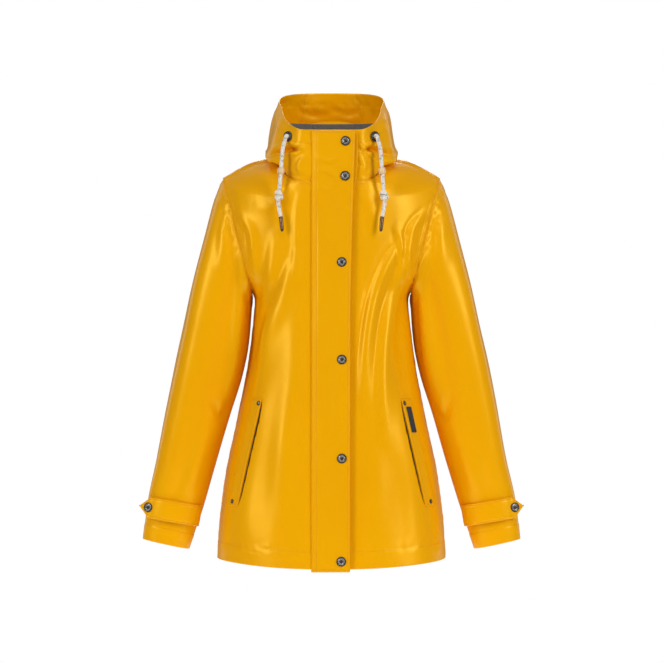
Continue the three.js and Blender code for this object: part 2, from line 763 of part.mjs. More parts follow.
function cordTube(side) {
  const place = eyeletPlace(side);
  const start = place.point.clone().addScaledVector(place.normal, -1);
  const lead = place.point.clone().addScaledVector(place.normal, 5);
  const rest = cordRoute.map((point) => sidePoint(side, point));
  const path = new THREE.CatmullRomCurve3([start, lead, ...rest]);
  const shape = new THREE.Shape();
  shape.absarc(0, 0, cordRadius, 0, Math.PI * 2);
  return new THREE.ExtrudeGeometry(shape, { steps: 16, curveSegments: 4, bevelEnabled: false, extrudePath: path });
}

// A turned piece on the line from one point to the next, its profile measured from a share of the way.
function threaded(profile, side, from, to, share, segments) {
  const start = sidePoint(side, from);
  const end = sidePoint(side, to);
  const normal = new THREE.Vector3().subVectors(end, start).normalize();
  return placedAlong(turned(profile, segments), { point: start.lerp(end, share), normal }, 0);
}

function bead(side) {
  const hole = cordRadius + 0.5;
  const profile = [
    [hole, -6], [beadRadius - 1.2, -6], [beadRadius, -2.5], [beadRadius, 2.5], [beadRadius - 1.2, 6], [hole, 6],
    [hole, -6],
  ];
  return threaded(profile, side, cordRoute[1], cordRoute[4], 0.52, 14);
}

function knot(side) {
  const hole = cordRadius + clearance;
  const profile = [
    [hole, -9], [knotRadius - 2, -8], [knotRadius, -3], [knotRadius, 3], [knotRadius - 2, 8], [hole, 9], [hole, -9],
  ];
  return threaded(profile, side, cordRoute[4], cordRoute[5], 0.43, 12);
}

function cordTip(side) {
  const start = 0.4;
  const profile = [[0, start], [3.3, start], [3.3, 5], [2.9, 24], [2, 27], [0, 27]];
  return threaded(profile, side, cordRoute[7], cordEndAim, 0, 12);
}

// Rivets at both ends of each welt.
const rivetSpots = { top: [129, 297], bottom: [176, 121] };

function weltRivet(side, end) {
  const skin = toGeometry(bodyFaceAt(clearance + weltThickness));
  const [x, z] = rivetSpots[end];
  const profile = [[0, 0], [4, 0], [4, 0.8], [2.6, 1.4], [0, 1.5]];
  return placedAlong(turned(profile, 12), surfaceSpot(skin, side * x, z), clearance);
}

// The whole jacket.
const shell = torsoShell();
const jacket = new THREE.Group();
jacket.add(
  named('right_front_panel', frontPanel(shell, -1), shellYellow),
  named('left_front_panel', frontPanel(shell, 1), shellYellow),
  named('back_panel', backPanel(shell), shellYellow),
  named('body_lining', bodyLining(), liningGrey),
  named('right_sleeve', sleeve(-1, 0, -cloth, 0), shellYellow),
  named('left_sleeve', sleeve(1, 0, -cloth, 0), shellYellow),
  named('right_sleeve_lining', sleeve(-1, -cloth - 0.6, -cloth - 0.6 - liningCloth, -3), liningGrey),
  named('left_sleeve_lining', sleeve(1, -cloth - 0.6, -cloth - 0.6 - liningCloth, -3), liningGrey),
  ...hoodPanels(),
  named('back_neck_facing', backNeckFacing(), liningGrey),
  named('hanger_loop', hangerLoop(), liningGrey),
  named('pocket_side_label', pocketLabel(), darkLabel),
  frontFrame(...zipPieces(), flapFrame(stormFlap(), underlap(), ...frontSnaps())),
);
[['right', -1], ['left', 1]].forEach(([word, side]) => {
  jacket.add(
    named(`${word}_pocket_welt`, pocketWelt(side), shellYellow),
    named(`${word}_pocket_bag`, pocketBag(side), liningGrey),
    named(`${word}_pocket_rivet_top`, weltRivet(side, 'top'), darkMetal),
    named(`${word}_pocket_rivet_bottom`, weltRivet(side, 'bottom'), darkMetal),
    named(`${word}_eyelet`, eyelet(side), darkMetal),
    named(`${word}_drawcord`, cordTube(side), cordWhite),
    named(`${word}_cord_bead`, bead(side), paleWood),
    named(`${word}_cord_knot`, knot(side), cordWhite),
    named(`${word}_cord_tip`, cordTip(side), darkMetal),
    cuffFrame(side, cuffTab(`${word}_cuff_tab`, side), ...cuffSnap(word, side)),
  );
});

const loopFace = loopBack() - loop.standOff - loop.strap / 2;
const group = new THREE.Group();
jacket.position.set(0, -loopFace, -loopHeight);
group.add(jacket);

export default group;
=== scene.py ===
# A yellow hooded foul weather jacket: coated cloth, storm flap with snaps, zip, pockets and drawcords.
# Shapes are worked out in millimetres from the hem's centre, then moved to the frame in metres.
# The wearer's left is +X and the front faces -Y.
import math

import bmesh
import bpy
import numpy as np
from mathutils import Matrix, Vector
from mathutils.bvhtree import BVHTree


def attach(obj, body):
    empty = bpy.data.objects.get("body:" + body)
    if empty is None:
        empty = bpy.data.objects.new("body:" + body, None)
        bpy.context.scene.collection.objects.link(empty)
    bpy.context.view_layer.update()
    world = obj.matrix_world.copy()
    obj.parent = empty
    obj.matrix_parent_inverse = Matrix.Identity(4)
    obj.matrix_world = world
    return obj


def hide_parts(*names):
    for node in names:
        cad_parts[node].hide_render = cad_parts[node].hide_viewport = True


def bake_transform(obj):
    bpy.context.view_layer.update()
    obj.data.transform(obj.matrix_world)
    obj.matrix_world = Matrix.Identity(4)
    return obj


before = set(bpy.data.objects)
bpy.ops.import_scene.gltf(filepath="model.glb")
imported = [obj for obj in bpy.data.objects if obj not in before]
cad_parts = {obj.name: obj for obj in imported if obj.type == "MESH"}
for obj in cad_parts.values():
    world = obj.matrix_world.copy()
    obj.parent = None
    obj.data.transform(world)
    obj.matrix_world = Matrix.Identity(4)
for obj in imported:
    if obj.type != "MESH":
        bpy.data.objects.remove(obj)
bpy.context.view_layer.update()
print("frame loaded")

# What the whole jacket shares with its CAD frame.
loopPlace = (0, 58.3296, 784)
hemDepth, frontTopDepth, frontTopHeight = 150, 88, 787
flatHalf, zipHalfGap, neckHalf = 48, 6.5, 96
neckFrontHeight, neckBackHeight, neckBackDepth = 695, 776, 74
shoulder, armpit = (197, 702), (142, 490)
frontLean = math.atan2(hemDepth - frontTopDepth, frontTopHeight)
flapHinge, flapTilt, flapThickness = -35, math.radians(6.5), 2.4
snapHeights = [16.9, 199.8, 376.2, 550.8, 705.6, 768.6]
snapOffsets = [17.6, 18.7, 18.7, 18.7, 24.7, 25.6]
sides = (("right", -1), ("left", 1))


def toRow(points):
    return (np.asarray(points, float) - loopPlace) / 1000


def smooth(low, high, value):
    share = np.clip((np.asarray(value, float) - low) / (high - low), 0, 1)
    return share * share * (3 - 2 * share)


def unit(vectors):
    vectors = np.asarray(vectors, float)
    return vectors / np.maximum(np.linalg.norm(vectors, axis=-1, keepdims=True), 1e-9)


def smoothTable(keys, values, at):
    keys, values = np.asarray(keys, float), np.asarray(values, float)
    at = np.clip(np.asarray(at, float), keys[0], keys[-1])
    step = np.diff(keys)[:, None]
    slope = np.diff(values, axis=0) / step
    before, after = slope[:-1], slope[1:]
    same = before * after > 0
    first, second = 2 * step[1:] + step[:-1], step[1:] + 2 * step[:-1]
    safeBefore, safeAfter = np.where(same, before, 1), np.where(same, after, 1)
    middle = np.where(same, (first + second) / (first / safeBefore + second / safeAfter), 0)
    tangent = np.vstack([slope[:1], middle, slope[-1:]])
    index = np.clip(np.searchsorted(keys, at, side="right") - 1, 0, len(keys) - 2)
    width = step[index, 0][:, None]
    t = (at - keys[index])[:, None] / width
    return ((2 * t**3 - 3 * t**2 + 1) * values[index] + (t**3 - 2 * t**2 + t) * width * tangent[index]
            + (3 * t**2 - 2 * t**3) * values[index + 1] + (t**3 - t**2) * width * tangent[index + 1])


def curveThrough(points, at):
    # Catmull-Rom through the points, at positions counted in points.
    points = np.asarray(points, float)
    padded = np.concatenate([[2 * points[0] - points[1]], points, [2 * points[-1] - points[-2]]])
    at = np.clip(np.asarray(at, float), 0, len(points) - 1)
    index = np.minimum(at.astype(int), len(points) - 2)
    t = (at - index).reshape((-1,) + (1,) * (points.ndim - 1))
    a, b, c, d = padded[index], padded[index + 1], padded[index + 2], padded[index + 3]
    return 0.5 * (2 * b + (c - a) * t + (2 * a - 5 * b + 4 * c - d) * t**2
                  + (3 * b - a - 3 * c + d) * t**3)


def bunched(count, tight):
    share = np.linspace(0, 1, count)
    return share - tight * np.sin(2 * np.pi * share) / (2 * np.pi)


def alongLine(line, shares):
    line = np.asarray(line, float)
    reach = np.concatenate([[0], np.cumsum(np.linalg.norm(np.diff(line, axis=0), axis=1))])
    at = np.asarray(shares) * reach[-1]
    return np.stack([np.interp(at, reach, line[:, axis]) for axis in range(line.shape[1])], axis=1)


def evenly(line, step):
    length = np.linalg.norm(np.diff(np.asarray(line, float), axis=0), axis=1).sum()
    return alongLine(line, np.linspace(0, 1, max(int(length / step), 2) + 1))


# Grids of points, row by row. Normals point out from the object where sign is 1.
def gridNormals(grid, sign=1, closed=False):
    if closed:
        around = (np.roll(grid, -1, axis=1) - np.roll(grid, 1, axis=1)) / 2
    else:
        around = np.gradient(grid, axis=1)
    return unit(np.cross(around, np.gradient(grid, axis=0))) * sign


def fromEdges(grid):
    across = np.zeros(grid.shape[:2])
    across[:, 1:] = np.cumsum(np.linalg.norm(np.diff(grid, axis=1), axis=2), axis=1)
    along = np.zeros(grid.shape[:2])
    along[1:] = np.cumsum(np.linalg.norm(np.diff(grid, axis=0), axis=2), axis=0)
    return across, across[:, -1:] - across, along, along[-1:] - along


def fromLine(grid, line):
    # The straight distance from each point to the nearest point of a line.
    nearest = np.full(grid.shape[:2], 1e9)
    for spot in evenly(line, 3):
        nearest = np.minimum(nearest, np.linalg.norm(grid - spot, axis=2))
    return nearest


def wobble(points, seed, wavelength, stretch=(1, 1, 0.5)):
    rng = np.random.default_rng(seed)
    total = np.zeros(points.shape[:-1])
    for _ in range(10):
        direction = unit(rng.normal(size=3)) * stretch
        length = wavelength * rng.uniform(0.6, 1.6)
        total += np.sin(points @ direction * 2 * np.pi / length + rng.uniform(0, 2 * np.pi))
    return total / 3.2


def ridges(points, lines):
    # Each line: its points in front view (x, z), height, half width, and how sharp its lee side is.
    total = np.zeros(points.shape[:-1])
    flat = points[..., [0, 2]]
    for line, height, width, crease in lines:
        path = curveThrough(line, np.linspace(0, len(line) - 1, 70))
        tangent = unit(np.gradient(path, axis=0))
        best = np.full(points.shape[:-1], 1e9)
        offset, share = np.zeros_like(best), np.zeros_like(best)
        for step, (spot, way) in enumerate(zip(path, tangent)):
            delta = flat - spot
            distance = np.linalg.norm(delta, axis=-1)
            nearer = distance < best
            side = delta[..., 0] * way[1] - delta[..., 1] * way[0]
            best = np.where(nearer, distance, best)
            atEnd = step in (0, len(path) - 1)
            offset = np.where(nearer, np.sign(side) * distance if atEnd else side, offset)
            share = np.where(nearer, step / (len(path) - 1), share)
        taper = np.sin(np.pi * np.clip(share * 0.92 + 0.04, 0, 1)) ** 0.8
        profile = np.exp(-(offset / width) ** 2)
        if crease:
            profile = profile - crease * np.exp(-((offset - width * 1.15) / (0.5 * width)) ** 2)
        total += height * taper * profile
    return total


def seamRelief(distance, wide=9, lift=0.5, groove=1.1):
    # Cloth folded under beside a seam: a lifted band, a groove at the seam, and stitches sunk in.
    band = lift * (1 - smooth(wide - 0.8, wide + 1.6, distance))
    sunk = 0.3 * np.exp(-((distance - 2.2) / 0.9) ** 2) + 0.3 * np.exp(-((distance - wide + 1.2) / 0.9) ** 2)
    return band - sunk - groove * np.exp(-(distance / 1.3) ** 2)


def puckers(points, distance, seed, reach=16, height=0.35):
    return height * wobble(points, seed, 17, (1, 1, 1)) * np.exp(-(distance / reach) ** 2)


# Meshes.
def makeObject(name, points, faces, material, uvs=None, seam=None):
    mesh = bpy.data.meshes.new(name)
    mesh.from_pydata(toRow(points).tolist(), [], [tuple(face) for face in faces])
    if uvs is not None:
        layer = mesh.uv_layers.new(name="cloth")
        index = np.zeros(len(mesh.loops), np.int32)
        mesh.loops.foreach_get("vertex_index", index)
        layer.data.foreach_set("uv", np.asarray(uvs, np.float32)[index].ravel())
    # The 'seam' attribute is near 1 at seams and edges; the cloth shader paints shade there.
    attribute = mesh.attributes.new("seam", "FLOAT", "POINT")
    if seam is not None:
        attribute.data.foreach_set("value", np.asarray(seam, np.float32))
    work = bmesh.new()
    work.from_mesh(mesh)
    bmesh.ops.remove_doubles(work, verts=work.verts, dist=1e-6)
    bmesh.ops.recalc_face_normals(work, faces=work.faces)
    work.to_mesh(mesh)
    work.free()
    mesh.polygons.foreach_set("use_smooth", [True] * len(mesh.polygons))
    mesh.materials.append(material)
    obj = bpy.data.objects.new(name, mesh)
    bpy.context.scene.collection.objects.link(obj)
    return obj


def quads(index):
    return np.stack([index[:-1, :-1], index[:-1, 1:], index[1:, 1:], index[1:, :-1]], axis=-1).reshape(-1, 4)


def clothPiece(name, outer, thickness, material, sign=1, closed=False, seam=None):
    # A sheet of cloth with both faces and a rounded edge all round.
    rows, columns = outer.shape[:2]
    normals = gridNormals(outer, sign, closed)
    inner = outer - normals * thickness
    across, _, along, _ = fromEdges(outer)
    uvs = np.stack([across, along], axis=-1) / 1000
    index = np.arange(rows * columns).reshape(rows, columns)
    wrap = np.hstack([index, index[:, :1]]) if closed else index
    size = rows * columns
    faces = [quads(wrap), quads(wrap + size)]
    points = [outer.reshape(-1, 3), inner.reshape(-1, 3)]
    if closed:
        loops = [(index[0], index[1], True), (index[-1], index[-2], True)]
    else:
        border = np.concatenate([index[0, :-1], index[:-1, -1], index[-1, :0:-1], index[:0:-1, 0]])
        near = index[1:-1, 1:-1]
        inward = np.pad(near, 1, mode="edge")
        follow = np.concatenate([inward[0, :-1], inward[:-1, -1], inward[-1, :0:-1], inward[:0:-1, 0]])
        loops = [(border, follow, True)]
    flat = points[0]
    start = 2 * size
    seams = [np.zeros(size) if seam is None else seam.ravel()] * 2
    uvList = [uvs.reshape(-1, 2)] * 2
    for border, follow, _ in loops:
        outwards = unit(flat[border] - flat[follow])
        middle = (flat[border] + points[1][border]) / 2 + outwards * thickness * 0.45
        points.append(middle)
        count = len(border)
        ring = np.arange(start, start + count)
        start += count
        seams.append(seams[0][border])
        uvList.append(uvList[0][border])
        for first, second in ((border, ring), (ring, border + size)):
            faces.append(np.stack([first, np.roll(first, -1), np.roll(second, -1), second], axis=-1))
    return makeObject(name, np.vstack(points), np.vstack(faces), material, np.vstack(uvList),
                      np.concatenate(seams))


def ringPiece(name, rings, material, capped=True, uvs=None, seam=None):
    # Closed rings of points joined into a skin, with both ends filled.
    rings = np.asarray(rings, float)
    if uvs is not None:
        rings = np.concatenate([rings, rings[:, :1]], axis=1)
        uvs = np.concatenate([uvs, uvs[:, :1] + (1, 0)], axis=1)
    rows, columns = rings.shape[:2]
    index = np.arange(rows * columns).reshape(rows, columns)
    faces = quads(index if uvs is not None else np.hstack([index, index[:, :1]])).tolist()
    points = rings.reshape(-1, 3)
    if capped:
        hubs = np.stack([rings[0].mean(axis=0), rings[-1].mean(axis=0)])
        points = np.vstack([points, hubs])
        for hub, ring in ((rows * columns, index[0]), (rows * columns + 1, index[-1])):
            faces += [(hub, int(a), int(b)) for a, b in zip(ring, np.roll(ring, -1))]
        if uvs is not None:
            uvs = np.vstack([uvs.reshape(-1, 2), uvs[0, :1], uvs[-1, :1]])
    elif uvs is not None:
        uvs = uvs.reshape(-1, 2)
    return makeObject(name, points, faces, material, uvs, seam)


def frameOn(normal):
    normal = unit(normal)
    helper = np.array([0, 0, 1.0]) if abs(normal[2]) < 0.9 else np.array([1.0, 0, 0])
    first = unit(np.cross(helper, normal))
    return first, np.cross(normal, first), normal


def turnedPiece(name, profile, place, normal, material, segments=40, centre=None):
    # Profile of (radius, height) along the normal, closed at the axis where its radius is 0.
    first, second, up = frameOn(normal)
    angles = np.linspace(0, 2 * np.pi, segments, endpoint=False)
    rings = []
    for radius, height in profile:
        spread = np.full(segments, float(radius))
        rise = np.full(segments, float(height))
        circle = np.cos(angles)[:, None] * first + np.sin(angles)[:, None] * second
        rings.append(place + spread[:, None] * circle
                     + rise[:, None] * up)
    closedProfile = profile[0] == profile[-1]
    if closedProfile:
        index = np.arange((len(profile) - 1) * segments).reshape(len(profile) - 1, segments)
        index = np.vstack([index, index[:1]])
        faces = quads(np.hstack([index, index[:, :1]]))
        return makeObject(name, np.vstack(rings[:-1]), faces, material)
    piece = ringPiece(name, rings, material)
    if centre:
        # A second material on the front, between two radii.
        radius, other = centre
        piece.data.materials.append(other)
        spot = Vector(toRow(place))
        axis = Vector(up)
        for face in piece.data.polygons:
            away = face.center - spot
            lift = away.dot(axis)
            if lift > 0 and radius[0] / 1000 < (away - axis * lift).length < radius[1] / 1000:
                face.material_index = 1
    return piece


def rounded(profile, steps=3):
    # Rounds the corners of a turned profile a little.
    profile = np.asarray(profile, float)
    result = [profile[0]]
    for before, corner, after in zip(profile[:-2], profile[1:-1], profile[2:]):
        reach = min(np.linalg.norm(before - corner), np.linalg.norm(after - corner)) * 0.35
        start, end = corner + unit(before - corner) * reach, corner + unit(after - corner) * reach
        for step in range(steps + 1):
            t = step / steps
            result.append((1 - t) ** 2 * start + 2 * t * (1 - t) * corner + t**2 * end)
    result.append(profile[-1])
    return [tuple(point) for point in result]


def tubeRings(path, radius, columns, relief=None):
    path = np.asarray(path, float)
    tangents = unit(np.gradient(path, axis=0))
    first, _, _ = frameOn(tangents[0])
    rings, uvs = [], []
    travelled = np.concatenate([[0], np.cumsum(np.linalg.norm(np.diff(path, axis=0), axis=1))])
    angles = np.linspace(0, 2 * np.pi, columns, endpoint=False)
    for spot, tangent, far in zip(path, tangents, travelled):
        first = unit(first - tangent * (first @ tangent))
        second = np.cross(tangent, first)
        reach = radius + (relief(angles, far) if relief else 0) * np.ones(columns)
        rings.append(spot + reach[:, None] * (np.cos(angles)[:, None] * first
                                              + np.sin(angles)[:, None] * second))
        uvs.append(np.stack([angles / (2 * np.pi), np.full(columns, far)], axis=-1))
    return np.array(rings), np.array(uvs)


# Materials. Effects live in node groups, and each shader stays in its own material.
def newGroup(name, inputs, outputs):
    tree = bpy.data.node_groups.new(name, "ShaderNodeTree")
    kinds = {"colour": "NodeSocketColor", "value": "NodeSocketFloat", "vector": "NodeSocketVector"}
    for label, kind, default in inputs:
        socket = tree.interface.new_socket(label, in_out="INPUT", socket_type=kinds[kind])
        socket.default_value = default
    for label, kind in outputs:
        tree.interface.new_socket(label, in_out="OUTPUT", socket_type=kinds[kind])
    entry, leave = tree.nodes.new("NodeGroupInput"), tree.nodes.new("NodeGroupOutput")
    return tree, entry, leave


def node(tree, kind, settings=None, **inputs):
    made = tree.nodes.new(kind)
    for key, value in (settings or {}).items():
        setattr(made, key, value)
    for key, value in inputs.items():
        socket = made.inputs[int(key[1:])] if key[1:].isdigit() else made.inputs[key]
        if isinstance(value, bpy.types.NodeSocket):
            tree.links.new(value, socket)
        else:
            socket.default_value = value
    return made


def mixColour(tree, factor, first, second, blend="MIX"):
    kind = {"data_type": "RGBA", "blend_type": blend}
    made = node(tree, "ShaderNodeMix", kind, i0=factor, i6=first, i7=second)
    return made.outputs[2]


def arithmetic(tree, operation, *values, **extra):
    sockets = {f"i{index}": value for index, value in enumerate(values)}
    return node(tree, "ShaderNodeMath", {"operation": operation, **extra}, **sockets).outputs[0]


def remap(tree, value, low, high, bottom, top):
    return node(tree, "ShaderNodeMapRange", None, Value=value, i1=low, i2=high, i3=bottom, i4=top).outputs[0]


def clothGroup():
    inputs = [("Colour", "colour", (0.8, 0.4, 0, 1)), ("Worn Colour", "colour", (0.8, 0.4, 0, 1)),
              ("Grain Scale", "value", 900), ("Grain Height", "value", 0.5), ("Roughness", "value", 0.4)]
    tree, entry, leave = newGroup("coatedClothEffects", inputs,
                                  [("Colour", "colour"), ("Roughness", "value"), ("Height", "value")])
    place = node(tree, "ShaderNodeTexCoord").outputs["Object"]
    broad = node(tree, "ShaderNodeTexNoise", None, Vector=place, Scale=7.0, Detail=3.0).outputs[0]
    fine = node(tree, "ShaderNodeTexNoise", None, Vector=place, Scale=entry.outputs["Grain Scale"],
                Detail=2.0, Roughness=0.6).outputs[0]
    mottle = node(tree, "ShaderNodeTexNoise", None, Vector=place, Scale=60.0, Detail=4.0).outputs[0]
    seam = node(tree, "ShaderNodeAttribute", {"attribute_name": "seam"}).outputs["Fac"]
    share = remap(tree, broad, 0.35, 0.65, 0.0, 0.35)
    colour = mixColour(tree, share, entry.outputs["Colour"], entry.outputs["Worn Colour"])
    # Painted shade: near seams, hems and edges, where the 'seam' attribute is high, the colour darkens
    # towards the second colour.
    seamShadeShare = arithmetic(tree, "MULTIPLY", seam, 0.55)
    colour = mixColour(tree, seamShadeShare, colour, entry.outputs["Worn Colour"])
    rough = remap(tree, mottle, 0.3, 0.7, -0.015, 0.02)
    rough = arithmetic(tree, "ADD", rough, entry.outputs["Roughness"])
    rough = arithmetic(tree, "MULTIPLY_ADD", seam, 0.08, rough)
    height = node(tree, "ShaderNodeMath", {"operation": "MULTIPLY"}, i0=fine,
                  i1=entry.outputs["Grain Height"]).outputs[0]
    height = arithmetic(tree, "MULTIPLY_ADD", mottle, 0.25, height)
    for label, socket in (("Colour", colour), ("Roughness", rough), ("Height", height)):
        tree.links.new(socket, leave.inputs[label])
    return tree


def weaveGroup():
    # Crossing ribs in the cloth's own directions, for knits, tapes and labels, with painted shade in the low
    # gaps between the ribs.
    inputs = [("Colour", "colour", (0.2, 0.2, 0.2, 1)), ("Gap Colour", "colour", (0.1, 0.1, 0.1, 1)),
              ("Across", "value", 2500), ("Along", "value", 2500)]
    tree, entry, leave = newGroup("wovenEffects", inputs,
                                  [("Colour", "colour"), ("Roughness", "value"), ("Height", "value")])
    flat = node(tree, "ShaderNodeUVMap", {"uv_map": "cloth"}).outputs[0]
    parts = node(tree, "ShaderNodeSeparateXYZ", None, i0=flat).outputs
    waves = []
    for part, label in ((parts[0], "Across"), (parts[1], "Along")):
        scaled = arithmetic(tree, "MULTIPLY", part, entry.outputs[label])
        waves.append(arithmetic(tree, "SINE", scaled))
    product = arithmetic(tree, "MULTIPLY", waves[0], waves[1])
    height = remap(tree, product, -1.0, 1.0, 0.0, 1.0)
    place = node(tree, "ShaderNodeTexCoord").outputs["Object"]
    lint = node(tree, "ShaderNodeTexNoise", None, Vector=place, Scale=240.0, Detail=4.0).outputs[0]
    share = arithmetic(tree, "MULTIPLY", height, lint)
    share = remap(tree, share, 0.05, 0.5, 0.0, 1.0)
    # Painted shade: the colour darkens where the ribs are low.
    colour = mixColour(tree, share, entry.outputs["Gap Colour"], entry.outputs["Colour"])
    rough = remap(tree, lint, 0.3, 0.7, 0.75, 0.95)
    for label, socket in (("Colour", colour), ("Roughness", rough), ("Height", height)):
        tree.links.new(socket, leave.inputs[label])
    return tree


def metalGroup():
    inputs = [("Dark", "colour", (0.018, 0.017, 0.016, 1)), ("Bright", "colour", (0.26, 0.24, 0.21, 1)),
              ("Scale", "value", 500), ("Roughness", "value", 0.35)]
    tree, entry, leave = newGroup("antiqueMetalEffects", inputs,
                                  [("Colour", "colour"), ("Roughness", "value"), ("Height", "value")])
    place = node(tree, "ShaderNodeTexCoord").outputs["Object"]
    cloud = node(tree, "ShaderNodeTexNoise", None, Vector=place, Scale=entry.outputs["Scale"],
                 Detail=5.0, Roughness=0.65).outputs[0]
    wear = node(tree, "ShaderNodeAttribute", {"attribute_name": "seam"}).outputs["Fac"]
    share = remap(tree, cloud, 0.3, 0.75, 0.0, 0.5)
    share = arithmetic(tree, "ADD", share, wear, use_clamp=True)
    colour = mixColour(tree, share, entry.outputs["Dark"], entry.outputs["Bright"])
    rough = node(tree, "ShaderNodeMath", {"operation": "MULTIPLY_ADD"}, i0=cloud, i1=0.25,
                 i2=entry.outputs["Roughness"]).outputs[0]
    for label, socket in (("Colour", colour), ("Roughness", rough), ("Height", cloud)):
        tree.links.new(socket, leave.inputs[label])
    return tree


def braidGroup():
    # Round braid: strands cross at a steady angle, the gaps between strands get painted shade, and single
    # flecks of dark yarn run in some of them.
    inputs = [("Yarn", "colour", (0.98, 0.95, 0.88, 1)), ("Fleck", "colour", (0.09, 0.1, 0.17, 1)),
              ("Strand Shade", "colour", (0.8, 0.74, 0.64, 1)), ("Strands", "value", 4), ("Pitch", "value", 14)]
    tree, entry, leave = newGroup("braidEffects", inputs,
                                  [("Colour", "colour"), ("Roughness", "value"), ("Height", "value")])
    flat = node(tree, "ShaderNodeUVMap", {"uv_map": "cloth"}).outputs[0]
    parts = node(tree, "ShaderNodeSeparateXYZ", None, i0=flat).outputs
    around = arithmetic(tree, "MULTIPLY", parts[0], entry.outputs["Strands"])
    far = arithmetic(tree, "DIVIDE", parts[1], entry.outputs["Pitch"])
    far = arithmetic(tree, "MULTIPLY", far, entry.outputs["Strands"])
    plus = arithmetic(tree, "ADD", around, far)
    minus = arithmetic(tree, "SUBTRACT", around, far)
    crossing = []
    for value in (plus, minus):
        turn = arithmetic(tree, "MULTIPLY", value, 2 * math.pi)
        crossing.append(arithmetic(tree, "COSINE", turn))
    over = arithmetic(tree, "MAXIMUM", crossing[0], crossing[1])
    cells = []
    for value in (plus, minus):
        cells.append(arithmetic(tree, "FLOOR", value))
    cell = node(tree, "ShaderNodeCombineXYZ", None, i0=cells[0], i1=cells[1]).outputs[0]
    chance = node(tree, "ShaderNodeTexWhiteNoise", {"noise_dimensions": "2D"}, Vector=cell).outputs[0]
    flecked = arithmetic(tree, "GREATER_THAN", chance, 0.86)
    crown = remap(tree, over, 0.55, 0.8, 0.0, 1.0)
    flecked = arithmetic(tree, "MULTIPLY", flecked, crown)
    # Painted shade: the low places between the crossing strands darken.
    gap = remap(tree, over, 0.0, 0.5, 0.0, 1.0)
    colour = mixColour(tree, gap, entry.outputs["Strand Shade"], entry.outputs["Yarn"])
    colour = mixColour(tree, flecked, colour, entry.outputs["Fleck"])
    place = node(tree, "ShaderNodeTexCoord").outputs["Object"]
    fibre = node(tree, "ShaderNodeTexNoise", None, Vector=place, Scale=3500.0, Detail=2.0).outputs[0]
    height = arithmetic(tree, "MULTIPLY_ADD", fibre, 0.4, over)
    rough = remap(tree, fibre, 0.3, 0.7, 0.75, 0.95)
    for label, socket in (("Colour", colour), ("Roughness", rough), ("Height", height)):
        tree.links.new(socket, leave.inputs[label])
    return tree


groups = {"cloth": clothGroup(), "weave": weaveGroup(), "metal": metalGroup(), "braid": braidGroup()}


def makeMaterial(name, group, values, bump=0.3, distance=0.0004, **shader):
    material = bpy.data.materials.new(name)
    material.use_nodes = True
    tree = material.node_tree
    tree.nodes.clear()
    effects = tree.nodes.new("ShaderNodeGroup")
    effects.node_tree = groups[group]
    for label, value in values.items():
        effects.inputs[label].default_value = value
    surface = tree.nodes.new("ShaderNodeBsdfPrincipled")
    height = effects.outputs["Height"]
    relief = node(tree, "ShaderNodeBump", None, Strength=bump, Distance=distance, Height=height)
    tree.links.new(effects.outputs["Colour"], surface.inputs["Base Color"])
    tree.links.new(effects.outputs["Roughness"], surface.inputs["Roughness"])
    tree.links.new(relief.outputs["Normal"], surface.inputs["Normal"])
    for label, value in shader.items():
        surface.inputs[label.replace("_", " ")].default_value = value
    leave = tree.nodes.new("ShaderNodeOutputMaterial")
    tree.links.new(surface.outputs[0], leave.inputs[0])
    return material


# The second colour serves both the random tone of the cloth and the painted shade near seams.
coated = {"Colour": (0.94, 0.43, 0.0, 1), "Worn Colour": (0.89, 0.375, 0.0, 1), "Roughness": 0.3}
gloss = {"Specular_IOR_Level": 0.85, "Specular_Tint": (1, 0.74, 0.12, 1)}
coatedCloth = makeMaterial("coated_cloth", "cloth", coated, bump=0.12, distance=0.0005, **gloss)
thread = makeMaterial("yellow_thread", "cloth", {
    "Colour": (0.8, 0.36, 0.006, 1), "Worn Colour": (0.7, 0.29, 0.004, 1), "Grain Scale": 4000,
    "Roughness": 0.6}, bump=0.4, distance=0.0001)
greyKnit = makeMaterial("grey_knit", "weave", {
    "Colour": (0.21, 0.2, 0.17, 1), "Gap Colour": (0.1, 0.095, 0.08, 1), "Across": 3600, "Along": 2600},
    bump=0.6, distance=0.0005, Sheen_Weight=0.3)
zipTape = makeMaterial("zip_tape", "weave", {
    "Colour": (0.72, 0.3, 0.005, 1), "Gap Colour": (0.45, 0.17, 0.003, 1), "Across": 6500, "Along": 5200},
    bump=0.6, distance=0.0003)
labelCloth = makeMaterial("dark_label", "weave", {
    "Colour": (0.045, 0.05, 0.06, 1), "Gap Colour": (0.015, 0.016, 0.02, 1), "Across": 9000, "Along": 9000},
    bump=0.5, distance=0.0002)
plastic = makeMaterial("zip_plastic", "cloth", {
    "Colour": (0.75, 0.31, 0.004, 1), "Worn Colour": (0.6, 0.22, 0.003, 1), "Grain Scale": 2500,
    "Roughness": 0.32}, bump=0.1)
darkMetal = makeMaterial("gunmetal", "metal", {}, bump=0.15, distance=0.0002, Metallic=1.0)
silverMetal = makeMaterial("worn_silver", "metal", {
    "Dark": (0.2, 0.19, 0.18, 1), "Bright": (0.72, 0.7, 0.66, 1), "Roughness": 0.2}, bump=0.12,
    distance=0.0002, Metallic=1.0)
brownMetal = makeMaterial("antique_brass", "metal", {
    "Dark": (0.1, 0.06, 0.035, 1), "Bright": (0.55, 0.36, 0.2, 1), "Scale": 260, "Roughness": 0.24},
    bump=0.1, distance=0.0002, Metallic=1.0)
braid = makeMaterial("braided_cord", "braid", {}, bump=0.7, distance=0.0006, Sheen_Weight=0.25)
wood = makeMaterial("pale_wood", "cloth", {
    "Colour": (0.84, 0.6, 0.34, 1), "Worn Colour": (0.62, 0.38, 0.18, 1), "Grain Scale": 1400,
    "Grain Height": 1.0, "Roughness": 0.38}, bump=0.2, Coat_Weight=0.3)
print("materials made")


